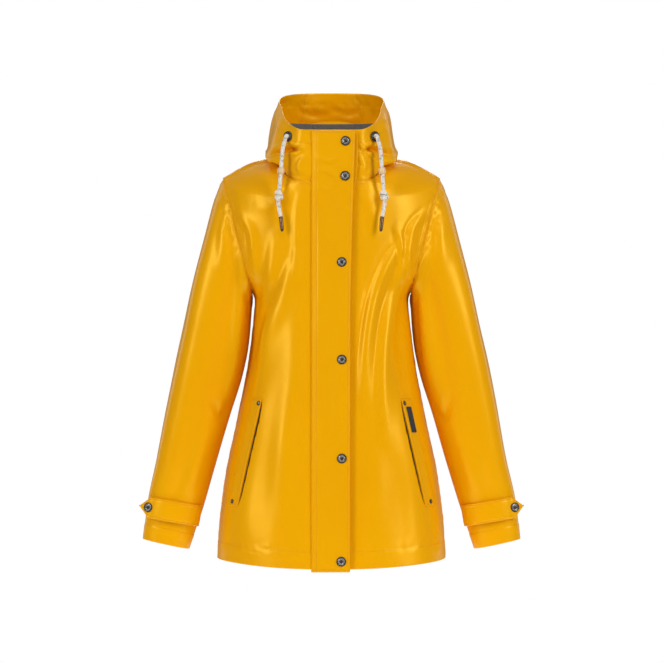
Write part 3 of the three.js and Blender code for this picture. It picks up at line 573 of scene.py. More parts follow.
def settle(piece, body, slot, *nodes):
    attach(piece, body)
    if nodes:
        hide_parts(*nodes)
    return piece


# Camera and light.
def aim(obj, target):
    direction = Vector(target) - obj.location
    obj.rotation_euler = direction.to_track_quat("-Z", "Y").to_euler()


view = {"distance": 6.4, "depth": -0.12, "height": -0.3583, "lens": 100}
cameraData = bpy.data.cameras.new("camera")
camera = bpy.data.objects.new("camera", cameraData)
bpy.context.scene.collection.objects.link(camera)
camera.location = (0, view["depth"] - view["distance"], view["height"])
camera.rotation_euler = (math.pi / 2, 0, 0)
cameraData.lens = view["lens"]
cameraData.sensor_width = 1.1934 / view["distance"] * view["lens"]
cameraData.clip_end = 100
bpy.context.scene.camera = camera

lights = [
    ("key_left", (-2.6, -2.6, 1.1), 1.1, 2.6, 58),
    ("key_right", (2.6, -2.4, 1.2), 1.1, 2.6, 66),
    ("top_front", (0, -2.4, 2.3), 2.0, 1.2, 20),
    ("rim_left", (-2.2, 1.9, 0.4), 1.2, 2.6, 8),
    ("rim_right", (2.2, 1.9, 0.4), 1.2, 2.6, 8),
    ("back_soft", (0, 3.4, 1.8), 2.6, 1.8, 70),
]
for label, place, width, height, power in lights:
    lamp = bpy.data.lights.new(label, "AREA")
    lamp.shape, lamp.size, lamp.size_y, lamp.energy = "RECTANGLE", width, height, power
    holder = bpy.data.objects.new(label, lamp)
    holder.location = place
    aim(holder, (0, -0.05, -0.4))
    bpy.context.scene.collection.objects.link(holder)

world = bpy.data.worlds.new("studio")
bpy.context.scene.world = world
world.use_nodes = True
worldTree = world.node_tree
worldTree.nodes.clear()
seen = node(worldTree, "ShaderNodeLightPath").outputs["Is Camera Ray"]
soft = node(worldTree, "ShaderNodeBackground", None, Color=(1, 1, 1, 1), Strength=0.14)
bright = node(worldTree, "ShaderNodeBackground", None, Color=(1, 1, 1, 1), Strength=1.0)
both = node(worldTree, "ShaderNodeMixShader", None, i0=seen, i1=soft.outputs[0], i2=bright.outputs[0])
node(worldTree, "ShaderNodeOutputWorld", None, i0=both.outputs[0])
bpy.context.scene.view_settings.view_transform = "Standard"

floorMaterial = makeMaterial("pale_floor", "cloth", {
    "Colour": (0.9, 0.9, 0.9, 1), "Worn Colour": (0.87, 0.87, 0.87, 1), "Grain Scale": 60, "Roughness": 0.8},
    bump=0.05, Emission_Color=(1, 1, 1, 1), Emission_Strength=0.5)
floorAngles = np.linspace(0, 2 * np.pi, 96, endpoint=False)
ground = {"radius": 1700, "height": -1250}
floorRim = np.stack([np.cos(floorAngles), np.sin(floorAngles), 0 * floorAngles], axis=-1)
floorPoints = floorRim * ground["radius"]
floorPoints += np.add(loopPlace, (0, 0, ground["height"]))
floor = makeObject("floor", np.array(floorPoints), [tuple(range(96))], floorMaterial)
floor.data.flip_normals() if floor.data.polygons[0].normal.z < 0 else None
print("camera, light and floor made")


# The torso's cross-sections.
def frontDepth(height):
    return hemDepth + (frontTopDepth - hemDepth) * height / frontTopHeight


neckLean = (neckBackHeight - neckFrontHeight) / (neckBackDepth + frontDepth(neckFrontHeight))
neckHeight = neckFrontHeight + (neckBackHeight - neckFrontHeight) * frontDepth(neckFrontHeight) / (
    neckBackDepth + frontDepth(neckFrontHeight))
# Height, half width, back depth, roundness, and how far the front and back of the ring lean.
torsoStations = np.array([
    (0, 206, 140, 2.4, 0, 0), (60, 204, 138, 2.4, 0, 0), (160, 193, 131, 2.4, 0, 0),
    (266, 171, 122, 2.4, 0, 0), (369, 151, 112, 2.3, 0, 0), (440, 142, 108, 2.3, 0, 0),
    (484, 138.5, 108, 2.2, 0, 0), (520, 172, 109, 2.0, 0, 0), (570, 206, 110, 1.8, 0, 0),
    (640, 215, 108, 1.7, 0.1, 0.1), (698, 203, 102, 1.7, 0.4, 0.18), (716, 176, 96, 1.7, 0.48, 0.22),
    (732, 146, 89, 1.8, 0.56, 0.25), (738, 118, 82, 2.0, 0.53, 0.36),
    (neckHeight, neckHalf, neckBackDepth, 2.1, neckLean, neckLean)])
stationReach = np.concatenate([[0], np.cumsum(np.hypot(*np.diff(torsoStations[:, :2], axis=0).T))])


def hemLift(x):
    return 3.5 + 13 * (x / 206) ** 2


def sectionLine(station, front, start):
    height, half, back, power, leanFront, leanBack = station
    angle = np.linspace(np.pi / 2, 0, 240)
    across, deep = np.clip(np.cos(angle), 0, 1) ** (2 / power), np.clip(np.sin(angle), 0, 1) ** (2 / power)
    if front:
        flat = np.linspace(start, flatHalf, 20, endpoint=False)
        x = np.concatenate([flat, flatHalf + (half - flatHalf) * across])
        deep = np.concatenate([np.ones(20), deep])
        z = np.full(len(x), height)
        for _ in range(6):
            y = -deep * frontDepth(z)
            z = height + leanFront * y
    else:
        x, y = half * across, back * deep
        z = height + leanBack * y
    z = z + hemLift(x) * np.clip(1 - height / 120, 0, 1)
    return np.stack([x, y, z], axis=1)


def cutAtArmhole(line, reach):
    slope = (shoulder[0] - armpit[0]) / (shoulder[1] - armpit[1])
    past = line[:, 0] - (shoulder[0] + (line[:, 2] - shoulder[1]) * slope)
    if reach < armholeReach or past.max() <= 0:
        return line
    first = int(np.argmax(past > 0))
    share = past[first - 1] / (past[first - 1] - past[first])
    edge = line[first - 1] + (line[first] - line[first - 1]) * share
    return np.vstack([line[:first], edge])


armholeReach = stationReach[6]
shoulderReach = stationReach[10] + 6
density = np.linspace(0, stationReach[-1], 4000)
weights = (1 + 7 * np.exp(-((density - armholeReach - 4) / 7) ** 2)
           + 3 * np.exp(-((density - shoulderReach) / 9) ** 2) + 2 * np.exp(-(density / 30) ** 2)
           + 1.5 * np.exp(-((density - stationReach[-1]) / 12) ** 2))
weights = np.cumsum(weights) / np.sum(weights)
torsoRows = np.interp(np.linspace(0, 1, 250), weights, density)
torsoRows[0], torsoRows[-1] = 0, stationReach[-1]


def torsoGrid(front, columns, start, rows=torsoRows):
    shares = bunched(columns, 0.72)
    stations = smoothTable(stationReach, torsoStations, rows)
    return np.array([alongLine(cutAtArmhole(sectionLine(station, front, start), reach), shares)
                     for station, reach in zip(stations, rows)])


# Folds in front view, for the wearer's right and left. Points, height, half width, sharpness.
frontFolds = {
    -1: [
        ([(-62, 560), (-92, 480), (-118, 410), (-140, 330)], 4.5, 15, 0.5),
        ([(-100, 600), (-112, 520), (-122, 440), (-128, 380)], 3.0, 12, 0.3),
        ([(-122, 500), (-128, 420), (-150, 320), (-168, 240)], -3.5, 13, 0),
        ([(-60, 500), (-66, 360), (-84, 220), (-90, 80)], 2.5, 20, 0),
        ([(-100, 330), (-112, 230), (-126, 120), (-132, 30)], -2.5, 20, 0),
        ([(-52, 690), (-60, 640), (-62, 580), (-58, 500)], 2.0, 11, 0.3),
        ([(-172, 640), (-146, 610), (-140, 560), (-144, 510)], 3.5, 9, 0.5),
        ([(-84, 668), (-110, 650), (-140, 655)], 1.5, 12, 0),
    ],
    1: [
        ([(128, 585), (98, 545), (72, 470), (58, 380), (54, 290)], 4.5, 12, 0.6),
        ([(136, 545), (112, 490), (98, 420), (92, 330), (96, 230)], 4.0, 13, 0.5),
        ([(132, 500), (126, 430), (132, 350), (146, 270)], -3.0, 12, 0),
        ([(118, 610), (128, 570), (126, 520)], 3.0, 9, 0.4),
        ([(66, 250), (78, 160), (84, 60)], 2.2, 20, 0),
        ([(112, 210), (124, 120), (130, 30)], -2.0, 18, 0),
        ([(172, 640), (146, 610), (140, 560), (144, 510)], 3.5, 9, 0.5),
        ([(60, 680), (72, 640), (80, 590)], 1.5, 12, 0.2),
    ],
}
backFolds = [
    ([(-60, 640), (-52, 480), (-66, 320), (-84, 150), (-90, 20)], 4.0, 22, 0.3),
    ([(58, 650), (64, 500), (60, 330), (86, 160), (92, 20)], 4.0, 22, 0.3),
    ([(-135, 560), (-110, 500), (-100, 420), (-118, 330)], 3.5, 16, 0.4),
    ([(137, 555), (112, 495), (103, 410), (120, 320)], 3.5, 16, 0.4),
    ([(-4, 600), (4, 430), (-2, 250), (4, 60)], -3.0, 26, 0),
    ([(-150, 330), (-148, 200), (-156, 60)], 3.0, 20, 0),
    ([(150, 330), (148, 210), (157, 60)], 3.0, 20, 0),
]
hem = {"depth": 30}


def relaxed(grid, rounds=90):
    # Evens out the cloth over the shoulder, its borders held.
    grid = grid.copy()
    share = (smooth(460, 500, grid[1:-1, 1:-1, 2]) * 0.5)[..., None]
    for _ in range(rounds):
        around = (grid[:-2, 1:-1] + grid[2:, 1:-1] + grid[1:-1, :-2] + grid[1:-1, 2:]) / 4
        grid[1:-1, 1:-1] += (around - grid[1:-1, 1:-1]) * share
    return grid


def shapeFront(side):
    grid = torsoGrid(True, 118, zipHalfGap)
    grid = relaxed(grid * (side, 1, 1))
    normals = gridNormals(grid, side)
    toZip, toSide, toHem, toNeck = fromEdges(grid)
    away = fromLine(grid, grid[:, -1])
    free = smooth(0, 26, away) * smooth(0, 30, toNeck)
    calm = smooth(26, 58, toZip)
    move = 1.5 * ridges(grid, frontFolds[side]) * free * calm
    move += 1.8 * wobble(grid, 11 + side, 120) * free * calm
    move += seamRelief(toSide, groove=0.7) + puckers(grid, away, 21 + side)
    move += seamRelief(toNeck, wide=7, lift=0.3) + puckers(grid, toNeck, 31 + side, 24, 0.5)
    move += 0.7 * (1 - smooth(hem["depth"] - 1, hem["depth"] + 1.5, toHem))
    move -= 0.35 * np.exp(-((toHem - hem["depth"]) / 1.0) ** 2)
    move += puckers(grid, np.abs(toHem - hem["depth"]), 41 + side, 14, 0.3)
    wave = 1.4 * np.sin(grid[..., 0] / 23 + side) * np.exp(-(toHem / 90) ** 2) * calm * free
    grid = grid + normals * (move + wave)[..., None]
    near = np.minimum(toSide, toNeck)
    seam = np.exp(-(near / 7) ** 2) + 0.6 * np.exp(-(toHem / 10) ** 2)
    return grid, np.clip(seam, 0, 1)


def shapeBack():
    half = torsoGrid(False, 84, 0)
    grid = np.concatenate([half[:, :0:-1] * (-1, 1, 1), half], axis=1)
    grid = relaxed(grid)
    normals = gridNormals(grid, -1)
    toRight, toLeft, toHem, toNeck = fromEdges(grid)
    toSide = np.minimum(toRight, toLeft)
    away = np.minimum(fromLine(grid, grid[:, 0]), fromLine(grid, grid[:, -1]))
    free = smooth(0, 26, away) * smooth(0, 30, toNeck)
    move = (ridges(grid, backFolds) + 1.0 * wobble(grid, 5, 130)) * free
    move += seamRelief(toSide, groove=0.7) * 0.8 + puckers(grid, away, 22)
    move += 0.7 * (1 - smooth(hem["depth"] - 1, hem["depth"] + 1.5, toHem))
    move -= 0.35 * np.exp(-((toHem - hem["depth"]) / 1.0) ** 2)
    move += puckers(grid, np.abs(toHem - hem["depth"]), 43, 14, 0.3)
    move += 2.4 * np.sin(grid[..., 0] / 26 + 1) * np.exp(-(toHem / 90) ** 2) * free
    grid = grid + normals * move[..., None]
    seam = np.exp(-(toSide / 7) ** 2) + 0.6 * np.exp(-(toHem / 10) ** 2)
    return grid, np.clip(seam, 0, 1)


cloth = {"thickness": 1.6}
fronts = {side: shapeFront(side) for _, side in sides}
back, backSeam = shapeBack()


# Finds the shown front by a line of sight, for what is sewn on it.
def sightTree(grid):
    index = np.arange(grid.shape[0] * grid.shape[1]).reshape(grid.shape[:2])
    return BVHTree.FromPolygons(grid.reshape(-1, 3).tolist(), quads(index).tolist())


frontTrees = {side: sightTree(fronts[side][0]) for _, side in sides}


def onFront(side, x, z):
    hit, normal, _, _ = frontTrees[side].ray_cast(Vector((x, -400, z)), Vector((0, 1, 0)))
    normal = np.array(normal)
    return np.array(hit), normal if normal[1] < 0 else -normal


def frontPatch(side, corners, lift, rows, columns):
    # Corners in front view: top inner, top outer, bottom inner, bottom outer.
    topIn, topOut, lowIn, lowOut = [np.array(corner, float) for corner in corners]
    grid = np.zeros((rows, columns, 3))
    for row, down in enumerate(bunched(rows, 0.6)):
        for column, share in enumerate(np.linspace(0, 1, columns)):
            spot = (topIn * (1 - share) + topOut * share) * (1 - down) + (
                lowIn * (1 - share) + lowOut * share) * down
            point, normal = onFront(side, spot[0] * side, spot[1])
            grid[row, column] = point + normal * (lift(share, down) if callable(lift) else lift)
    return grid


pocket = {"top": (124, 304), "bottom": (167, 114), "welt": 18, "gape": 7}


def slitCutter(side, inner, outer, deep):
    # A long lens along the welt's inner edge, cut through the panel.
    top, bottom = np.array(pocket["top"], float), np.array(pocket["bottom"], float)
    rings = []
    line = np.linspace(0, 1, 30)
    for share in line:
        spot = top + (bottom - top) * (0.012 + 0.976 * share)
        gape = np.sin(np.pi * share) ** 0.5
        point, normal = onFront(side, spot[0] * side, spot[1])
        first = point + np.array([side * outer, 0, 0])
        second = point - np.array([side * max(inner * gape, 0.4), 0, 0])
        rings.append([first - normal * deep, second - normal * deep, second + normal * 3, first + normal * 3])
    return ringPiece("slit_cutter", rings, coatedCloth)


def cutWith(piece, cutter):
    modifier = piece.modifiers.new("cut", "BOOLEAN")
    modifier.operation, modifier.solver, modifier.object = "DIFFERENCE", "EXACT", cutter
    graph = bpy.context.evaluated_depsgraph_get()
    mesh = bpy.data.meshes.new_from_object(piece.evaluated_get(graph))
    piece.modifiers.clear()
    piece.data = mesh
    bpy.data.objects.remove(cutter)


for word, side in sides:
    grid, seam = fronts[side]
    panel = clothPiece(f"{word}_front", grid, cloth["thickness"], coatedCloth, side, seam=seam)
    cutWith(panel, slitCutter(side, pocket["gape"], 0.5, 14))
    settle(panel, "jacket_body", "coated_cloth", f"{word}_front_panel")
backPiece = clothPiece("back", back, cloth["thickness"], coatedCloth, -1, seam=backSeam)
settle(backPiece, "jacket_body", "coated_cloth", "back_panel")
print("torso panels made")


# Lining of the body: a looser knit shell well inside the pockets.
def shapeLining():
    rows = np.linspace(10, stationReach[-1] - 4, 90)
    frontHalf = torsoGrid(True, 60, 20, rows)
    backHalf = torsoGrid(False, 60, 0, rows)
    half = np.concatenate([frontHalf, backHalf[:, -2::-1]], axis=1)
    half = relaxed(half, 24)
    normals = gridNormals(half)
    inset = 23.6 - 12.6 * smooth(370, 486, half[..., 2])
    half = half - normals * (inset + 1.2 * wobble(half, 9, 90))[..., None]
    return np.concatenate([half[:, :-1], half[:, ::-1] * (-1, 1, 1)], axis=1)


liningPiece = clothPiece("lining", shapeLining(), 1.0, greyKnit, 1)
settle(liningPiece, "jacket_body", "grey_lining", "body_lining")


# Sleeves: outer and inner edge in front view, half depth and roundness.
sleeveStations = np.array([
    (197, 702, 142, 490, 66, 2), (215, 656, 143.5, 474, 65, 2), (233, 590, 145, 456, 62, 2.1),
    (251, 518, 147, 430, 60, 2.1), (267, 446, 151, 396, 58, 2.2), (284, 374, 162, 345, 55, 2.2),
    (298, 302, 184, 275, 49, 2.2), (318, 194, 215, 170, 40, 2.3), (333, 122, 235, 101, 34, 2.3),
    (342, 50, 259, 32, 31, 2.3)])
sleeveMiddles = (sleeveStations[:, :2] + sleeveStations[:, 2:4]) / 2
sleeveReach = np.concatenate([[0], np.cumsum(np.hypot(*np.diff(sleeveMiddles, axis=0).T))])
sleeveFolds = {
    -1: [
        ([(-205, 660), (-228, 560), (-250, 440), (-285, 250), (-306, 130)], 4.5, 22, 0),
        ([(-160, 590), (-178, 500), (-196, 400), (-212, 300)], -5.0, 16, 0),
        ([(-160, 560), (-166, 470), (-172, 380), (-184, 310)], 4.0, 11, 0.3),
        ([(-214, 300), (-200, 272), (-178, 300)], -4.0, 9, 0),
        ([(-222, 262), (-246, 180), (-262, 130)], 3.0, 14, 0.2),
        ([(-176, 660), (-190, 610), (-196, 540)], 3.0, 12, 0.3),
        ([(-270, 180), (-288, 100), (-292, 50)], -2.0, 12, 0),
    ],
    1: [
        ([(205, 660), (232, 560), (256, 440), (288, 260), (308, 130)], 4.5, 22, 0),
        ([(152, 580), (176, 500), (198, 400), (216, 300)], -5.0, 16, 0),
        ([(156, 545), (166, 470), (174, 380), (188, 310)], 4.0, 11, 0.3),
        ([(214, 310), (200, 268), (172, 300)], -4.0, 9, 0),
        ([(224, 262), (248, 180), (262, 130)], 3.0, 14, 0.2),
        ([(178, 655), (192, 610), (200, 540)], 3.0, 12, 0.3),
        ([(272, 180), (288, 100), (292, 50)], -2.0, 12, 0),
    ],
}


def armholeCurve():
    # The body's cut edge, in the armhole's plane: along it from its middle to the shoulder, and in depth.
    frontGrid = torsoGrid(True, 8, zipHalfGap)[:, -1]
    backGrid = torsoGrid(False, 8, 0)[:, -1]
    middle = np.array([(shoulder[0] + armpit[0]) / 2, (shoulder[1] + armpit[1]) / 2])
    reach = (np.array(shoulder) - middle)
    length = np.linalg.norm(reach)
    curve = []
    for edge in (frontGrid, backGrid):
        along = ((edge[:, [0, 2]] - middle) @ reach) / length**2
        inside = (np.abs(along) < 1.02) & (np.abs(edge[:, 1]) > 0.5)
        curve.append(np.stack([along[inside], -edge[inside, 1] / 66], axis=1))
    both = np.vstack(curve + [[(1, 0), (-1, 0)]])
    angle = np.arctan2(both[:, 1], both[:, 0]) % (2 * np.pi)
    order = np.argsort(angle)
    return angle[order], np.linalg.norm(both, axis=1)[order]


def sleeveGrid(rows, columns):
    angles = np.linspace(0, 2 * np.pi, columns, endpoint=False)
    curveAngle, curveReach = armholeCurve()
    outline = np.interp(angles, curveAngle, curveReach, period=2 * np.pi)
    stations = smoothTable(sleeveReach, sleeveStations, rows)
    grid = np.zeros((len(rows), columns, 3))
    for row, (station, reach) in enumerate(zip(stations, rows)):
        outer, inner, depth, power = station[:2], station[2:4], station[4], station[5]
        middle, half = (outer + inner) / 2, (outer - inner) / 2
        cosine, sine = np.cos(angles), np.sin(angles)
        across = np.sign(cosine) * np.abs(cosine) ** (2 / power)
        deep = np.sign(sine) * np.abs(sine) ** (2 / power) * depth
        own = 1 - smooth(0, 75, reach)
        across = across * (1 - own) + outline * cosine * own
        deep = deep * (1 - own) + outline * sine * 66 * own
        grid[row, :, 0] = middle[0] + half[0] * across
        grid[row, :, 1] = -deep
        grid[row, :, 2] = middle[1] + half[1] * across
    return grid


cuff = {"hem": 27}


def shapeSleeve(side):
    rows = sleeveReach[-1] * bunched(190, 0.55)
    grid = sleeveGrid(rows, 128) * (side, 1, 1)
    normals = gridNormals(grid, side, closed=True)
    _, _, toTop, toCuff = fromEdges(grid)
    free = smooth(4, 50, toTop)
    calmCuff = smooth(60, 110, toCuff)
    facing = smooth(0.15, 0.7, -normals[..., 1])
    behind = smooth(0.15, 0.7, normals[..., 1])
    folds = ridges(grid, sleeveFolds[side])
    move = 1.4 * folds * free * (facing + 0.8 * behind) * (0.35 + 0.65 * calmCuff)
    move += 1.0 * wobble(grid, 61 + side, 110, (1, 1, 0.6)) * free
    move += seamRelief(toTop, wide=3, lift=0, groove=0.9) + puckers(grid, toTop, 71 + side, 26, 0.9)
    move += 0.7 * (1 - smooth(cuff["hem"] - 1, cuff["hem"] + 1.5, toCuff))
    move -= 0.35 * np.exp(-((toCuff - cuff["hem"]) / 1.0) ** 2)
    grid = grid + normals * move[..., None]
    seam = np.exp(-(toTop / 7) ** 2) + 0.6 * np.exp(-(toCuff / 10) ** 2)
    return grid, np.clip(seam, 0, 1)


sleeves = {}
for word, side in sides:
    grid, seam = shapeSleeve(side)
    sleeves[side] = grid
    piece = clothPiece(f"{word}_sleeve_cloth", grid, cloth["thickness"], coatedCloth, side, True, seam)
    inside = grid - gridNormals(grid, side, closed=True) * 3.2
    inside = inside[4:-2:2, ::2]
    inner = clothPiece(f"{word}_sleeve_inside", inside, 0.8, greyKnit, side, True)
    for sleevePiece, slot, cadNode in ((piece, "coated_cloth", f"{word}_sleeve"),
                                       (inner, "grey_lining", f"{word}_sleeve_lining")):
        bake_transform(sleevePiece)
        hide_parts(cadNode)
print("sleeves made")


# Hood, worn down. Profiles go up from the neck seam as (outward, up).
hoodProfiles = {
    "front": [(0, 0), (-0.5, 8), (-1.2, 17), (-2.2, 30), (-3.4, 46), (-4.8, 62), (-6, 78), (-7.2, 92)],
    "side": [(0, 0), (8, 7), (17, 7), (24, 10), (19, 23), (13, 48), (7, 74), (-6, 93)],
    "back": [(0, 0), (6, 30), (18, 32), (30, -20), (46, -84), (66, -40), (63, 24), (50, 90)],
}
hoodFolds = [
    ([(-58, 749), (-74, 754), (-92, 750), (-112, 744)], -12, 4, 0),
    ([(-58, 758), (-74, 763), (-92, 759), (-112, 753)], 3.5, 5, 0),
    ([(58, 758), (74, 763), (92, 759), (112, 753)], 3.5, 5, 0),
    ([(58, 749), (74, 754), (92, 750), (112, 744)], -12, 4, 0),
    ([(-50, 760), (-62, 748), (-80, 742)], 3.5, 5, 0.6),
    ([(-46, 742), (-58, 722), (-52, 706)], 2.5, 6, 0.5),
    ([(50, 762), (64, 748), (80, 741)], 3.5, 5, 0.6),
    ([(46, 744), (58, 724), (50, 708)], 2.5, 6, 0.5),
    ([(-66, 800), (-84, 780), (-92, 760)], 1.5, 9, 0),
    ([(66, 800), (84, 780), (92, 760)], 1.5, 9, 0),
    ([(-70, 838), (-30, 826), (10, 834)], 2.0, 8, 0.3),
    ([(-20, 846), (30, 828), (60, 838)], 1.6, 7, 0.3),
    ([(66, 846), (76, 820), (70, 800)], 2.0, 7, 0.3),
]


def hoodHalf(rows, columns):
    station = torsoStations[-1]
    line = np.vstack([sectionLine(station, True, 0.4), sectionLine(station, False, 0)[-2::-1]])
    neck = alongLine(line, np.linspace(0, 1, columns))
    plan = unit((neck + (0, 6, 0))[:, :2])
    backShare = np.maximum(plan[:, 1], 0) ** 1.5
    frontShare = smooth(0.3, 0.74, -plan[:, 1])
    shares = np.stack([frontShare, 1 - frontShare - backShare, backShare])
    mixed = sum(share[:, None, None] * np.array(hoodProfiles[kind], float)
                for share, kind in zip(shares, ("front", "side", "back")))
    profile = curveThrough(np.swapaxes(mixed, 0, 1), 7 * bunched(rows, 0.5))
    turning = smooth(30, 80, neck[:, 0])[:, None]
    turned = unit(np.array([[0, -1.0]]) * (1 - turning) + plan * turning)
    outward = np.where((neck[:, 1] < 0)[:, None], turned, plan)
    grid = np.repeat(neck[None], rows, axis=0)
    grid[..., :2] += outward * profile[..., :1]
    grid[..., 2] += profile[..., 1]
    return grid


hoodColumns = 150
hood = hoodHalf(96, hoodColumns)
hood = np.concatenate([hood, hood[:, -2::-1] * (-1, 1, 1)], axis=1)
hoodNormals = gridNormals(hood)
_, _, fromNeck, fromRim = fromEdges(hood)
hoodFree = smooth(0, 14, fromNeck) * smooth(0, 16, fromRim)
rimCasing = 24
hoodMove = (ridges(hood, hoodFolds) + 1.0 * wobble(hood, 3, 70, (1, 1, 1))) * hoodFree
hoodMove += seamRelief(fromNeck, wide=2.5, lift=0, groove=0.9) + puckers(hood, fromNeck, 83, 18, 0.5)
hoodMove += 0.5 * (1 - smooth(rimCasing - 1, rimCasing + 1.5, fromRim))
hoodMove -= 0.35 * np.exp(-((fromRim - rimCasing) / 1.0) ** 2)
hoodMove += puckers(hood, np.abs(fromRim - rimCasing), 85, 12, 0.35)
# Panel seams run up both sides of the centre panel.
seamColumn = int(np.argmax((hood[-1, :hoodColumns, 1] > 20) & (hood[-1, :hoodColumns, 0] < 53)))
otherColumn = hood.shape[1] - 1 - seamColumn
hoodAcross, _, _, _ = fromEdges(hood)
toPanelSeam = np.minimum(np.abs(hoodAcross - hoodAcross[:, seamColumn:seamColumn + 1]),
                         np.abs(hoodAcross - hoodAcross[:, otherColumn:otherColumn + 1]))
hoodMove += seamRelief(toPanelSeam, wide=7, lift=0.4) + puckers(hood, toPanelSeam, 87, 12, 0.3)
hood = hood + hoodNormals * hoodMove[..., None]
hoodSeam = np.exp(-(np.minimum(fromNeck, toPanelSeam) / 6) ** 2) + 0.6 * np.exp(-(fromRim / 8) ** 2)
hoodSeam = np.clip(hoodSeam, 0, 1)
hoodParts = (("left", slice(0, seamColumn + 1)), ("centre", slice(seamColumn, otherColumn + 1)),
             ("right", slice(otherColumn, hood.shape[1])))
for word, part in hoodParts:
    piece = clothPiece(f"hood_{word}", hood[:, part], cloth["thickness"], coatedCloth, 1,
                       seam=hoodSeam[:, part])
    settle(piece, "jacket_body", "coated_cloth", f"hood_{word}_panel")
print("hood made")


# Sewing and other repeats, made by geometry nodes along paths.
def repeatTree():
    tree = bpy.data.node_groups.new("repeatAlongPath", "GeometryNodeTree")
    tree.interface.new_socket("Geometry", in_out="INPUT", socket_type="NodeSocketGeometry")
    tree.interface.new_socket("Geometry", in_out="OUTPUT", socket_type="NodeSocketGeometry")
    for label, kind in (("Shape", "NodeSocketObject"), ("Pitch", "NodeSocketFloat"),
                        ("Facing", "NodeSocketVector"), ("Seed", "NodeSocketInt"),
                        ("Material", "NodeSocketMaterial")):
        tree.interface.new_socket(label, in_out="INPUT", socket_type=kind)
    entry, leave = tree.nodes.new("NodeGroupInput"), tree.nodes.new("NodeGroupOutput")
    curve = node(tree, "GeometryNodeMeshToCurve", None, i0=entry.outputs["Geometry"]).outputs[0]
    even = node(tree, "GeometryNodeResampleCurve", {"mode": "LENGTH"}, Curve=curve,
                Length=entry.outputs["Pitch"]).outputs[0]
    tangent = node(tree, "GeometryNodeInputTangent").outputs[0]
    turn = node(tree, "FunctionNodeAlignRotationToVector", {"axis": "X"}, Vector=tangent).outputs[0]
    turn = node(tree, "FunctionNodeAlignRotationToVector", {"axis": "Z", "pivot_axis": "X"},
                Rotation=turn, Vector=entry.outputs["Facing"]).outputs[0]
    size = node(tree, "FunctionNodeRandomValue", {"data_type": "FLOAT"}, Seed=entry.outputs["Seed"])
    size.inputs[2].default_value, size.inputs[3].default_value = 0.92, 1.06
    shape = node(tree, "GeometryNodeObjectInfo", {"transform_space": "ORIGINAL"},
                 Object=entry.outputs["Shape"]).outputs["Geometry"]
    placed = node(tree, "GeometryNodeInstanceOnPoints", None, Points=even, Instance=shape, Rotation=turn,
                  Scale=size.outputs[1]).outputs[0]
    real = node(tree, "GeometryNodeRealizeInstances", None, i0=placed).outputs[0]
    painted = node(tree, "GeometryNodeSetMaterial", None, Geometry=real, Material=entry.outputs["Material"])
    tree.links.new(painted.outputs[0], leave.inputs[0])
    return tree


repeatGroup = repeatTree()


def repeatAlong(name, lines, shape, pitch, facing, material, seed=1):
    # Lines are in the hem's millimetres; the result is one plain mesh.
    points, edges = [], []
    for line in lines:
        start = len(points)
        points += toRow(line).tolist()
        edges += [(start + step, start + step + 1) for step in range(len(line) - 1)]
    guide = bpy.data.meshes.new(name)
    guide.from_pydata(points, edges, [])
    obj = bpy.data.objects.new(name, guide)
    bpy.context.scene.collection.objects.link(obj)
    modifier = obj.modifiers.new("repeat", "NODES")
    modifier.node_group = repeatGroup
    values = {"Shape": shape, "Pitch": pitch / 1000, "Facing": facing, "Seed": seed, "Material": material}
    for item in repeatGroup.interface.items_tree:
        if item.in_out == "INPUT" and item.name in values:
            modifier[item.identifier] = values[item.name]
    graph = bpy.context.evaluated_depsgraph_get()
    mesh = bpy.data.meshes.new_from_object(obj.evaluated_get(graph))
    obj.modifiers.clear()
    obj.data = mesh
    mesh.polygons.foreach_set("use_smooth", [True] * len(mesh.polygons))
    bpy.data.objects.remove(shape) if shape.name.startswith("once") else None
    return obj


def smallShape(name, length, width, height, columns, rings):
    # A rounded bar along X with its middle at the origin, in metres.
    shares = np.sin(np.linspace(-np.pi / 2, np.pi / 2, rings))
    angles = np.linspace(0, 2 * np.pi, columns, endpoint=False)
    loops = []
    for share in shares:
        girth = max(1 - abs(share) ** 3, 0.02) ** 0.5
        loops.append(np.stack([np.full(columns, share * length / 2), np.cos(angles) * width / 2 * girth,
                               np.sin(angles) * height / 2 * girth], axis=1))
    piece = ringPiece(name, np.array(loops) + loopPlace, thread)
    bpy.context.scene.collection.objects.unlink(piece)
    return piece


stitchShape = smallShape("stitch", 2.5, 0.62, 0.5, 6, 5)
stitchLines = {}


def sew(body, line):
    if len(line) > 3:
        stitchLines.setdefault(body, []).append(evenly(line, 2.0))


def isoLine(grid, normals, field, value, byRow, lift=0.12):
    # The line on a grid where a field has a value, found row by row or column by column.
    if not byRow:
        grid, normals, field = np.swapaxes(grid, 0, 1), np.swapaxes(normals, 0, 1), field.T
    line = []
    for points, ways, values in zip(grid, normals, field):
        if values[0] > values[-1]:
            points, ways, values = points[::-1], ways[::-1], values[::-1]
        if values[0] <= value <= values[-1]:
            spot = [np.interp(value, values, points[:, axis]) for axis in range(3)]
            way = [np.interp(value, values, ways[:, axis]) for axis in range(3)]
            line.append(np.array(spot) + unit(way) * lift)
    return np.array(line)


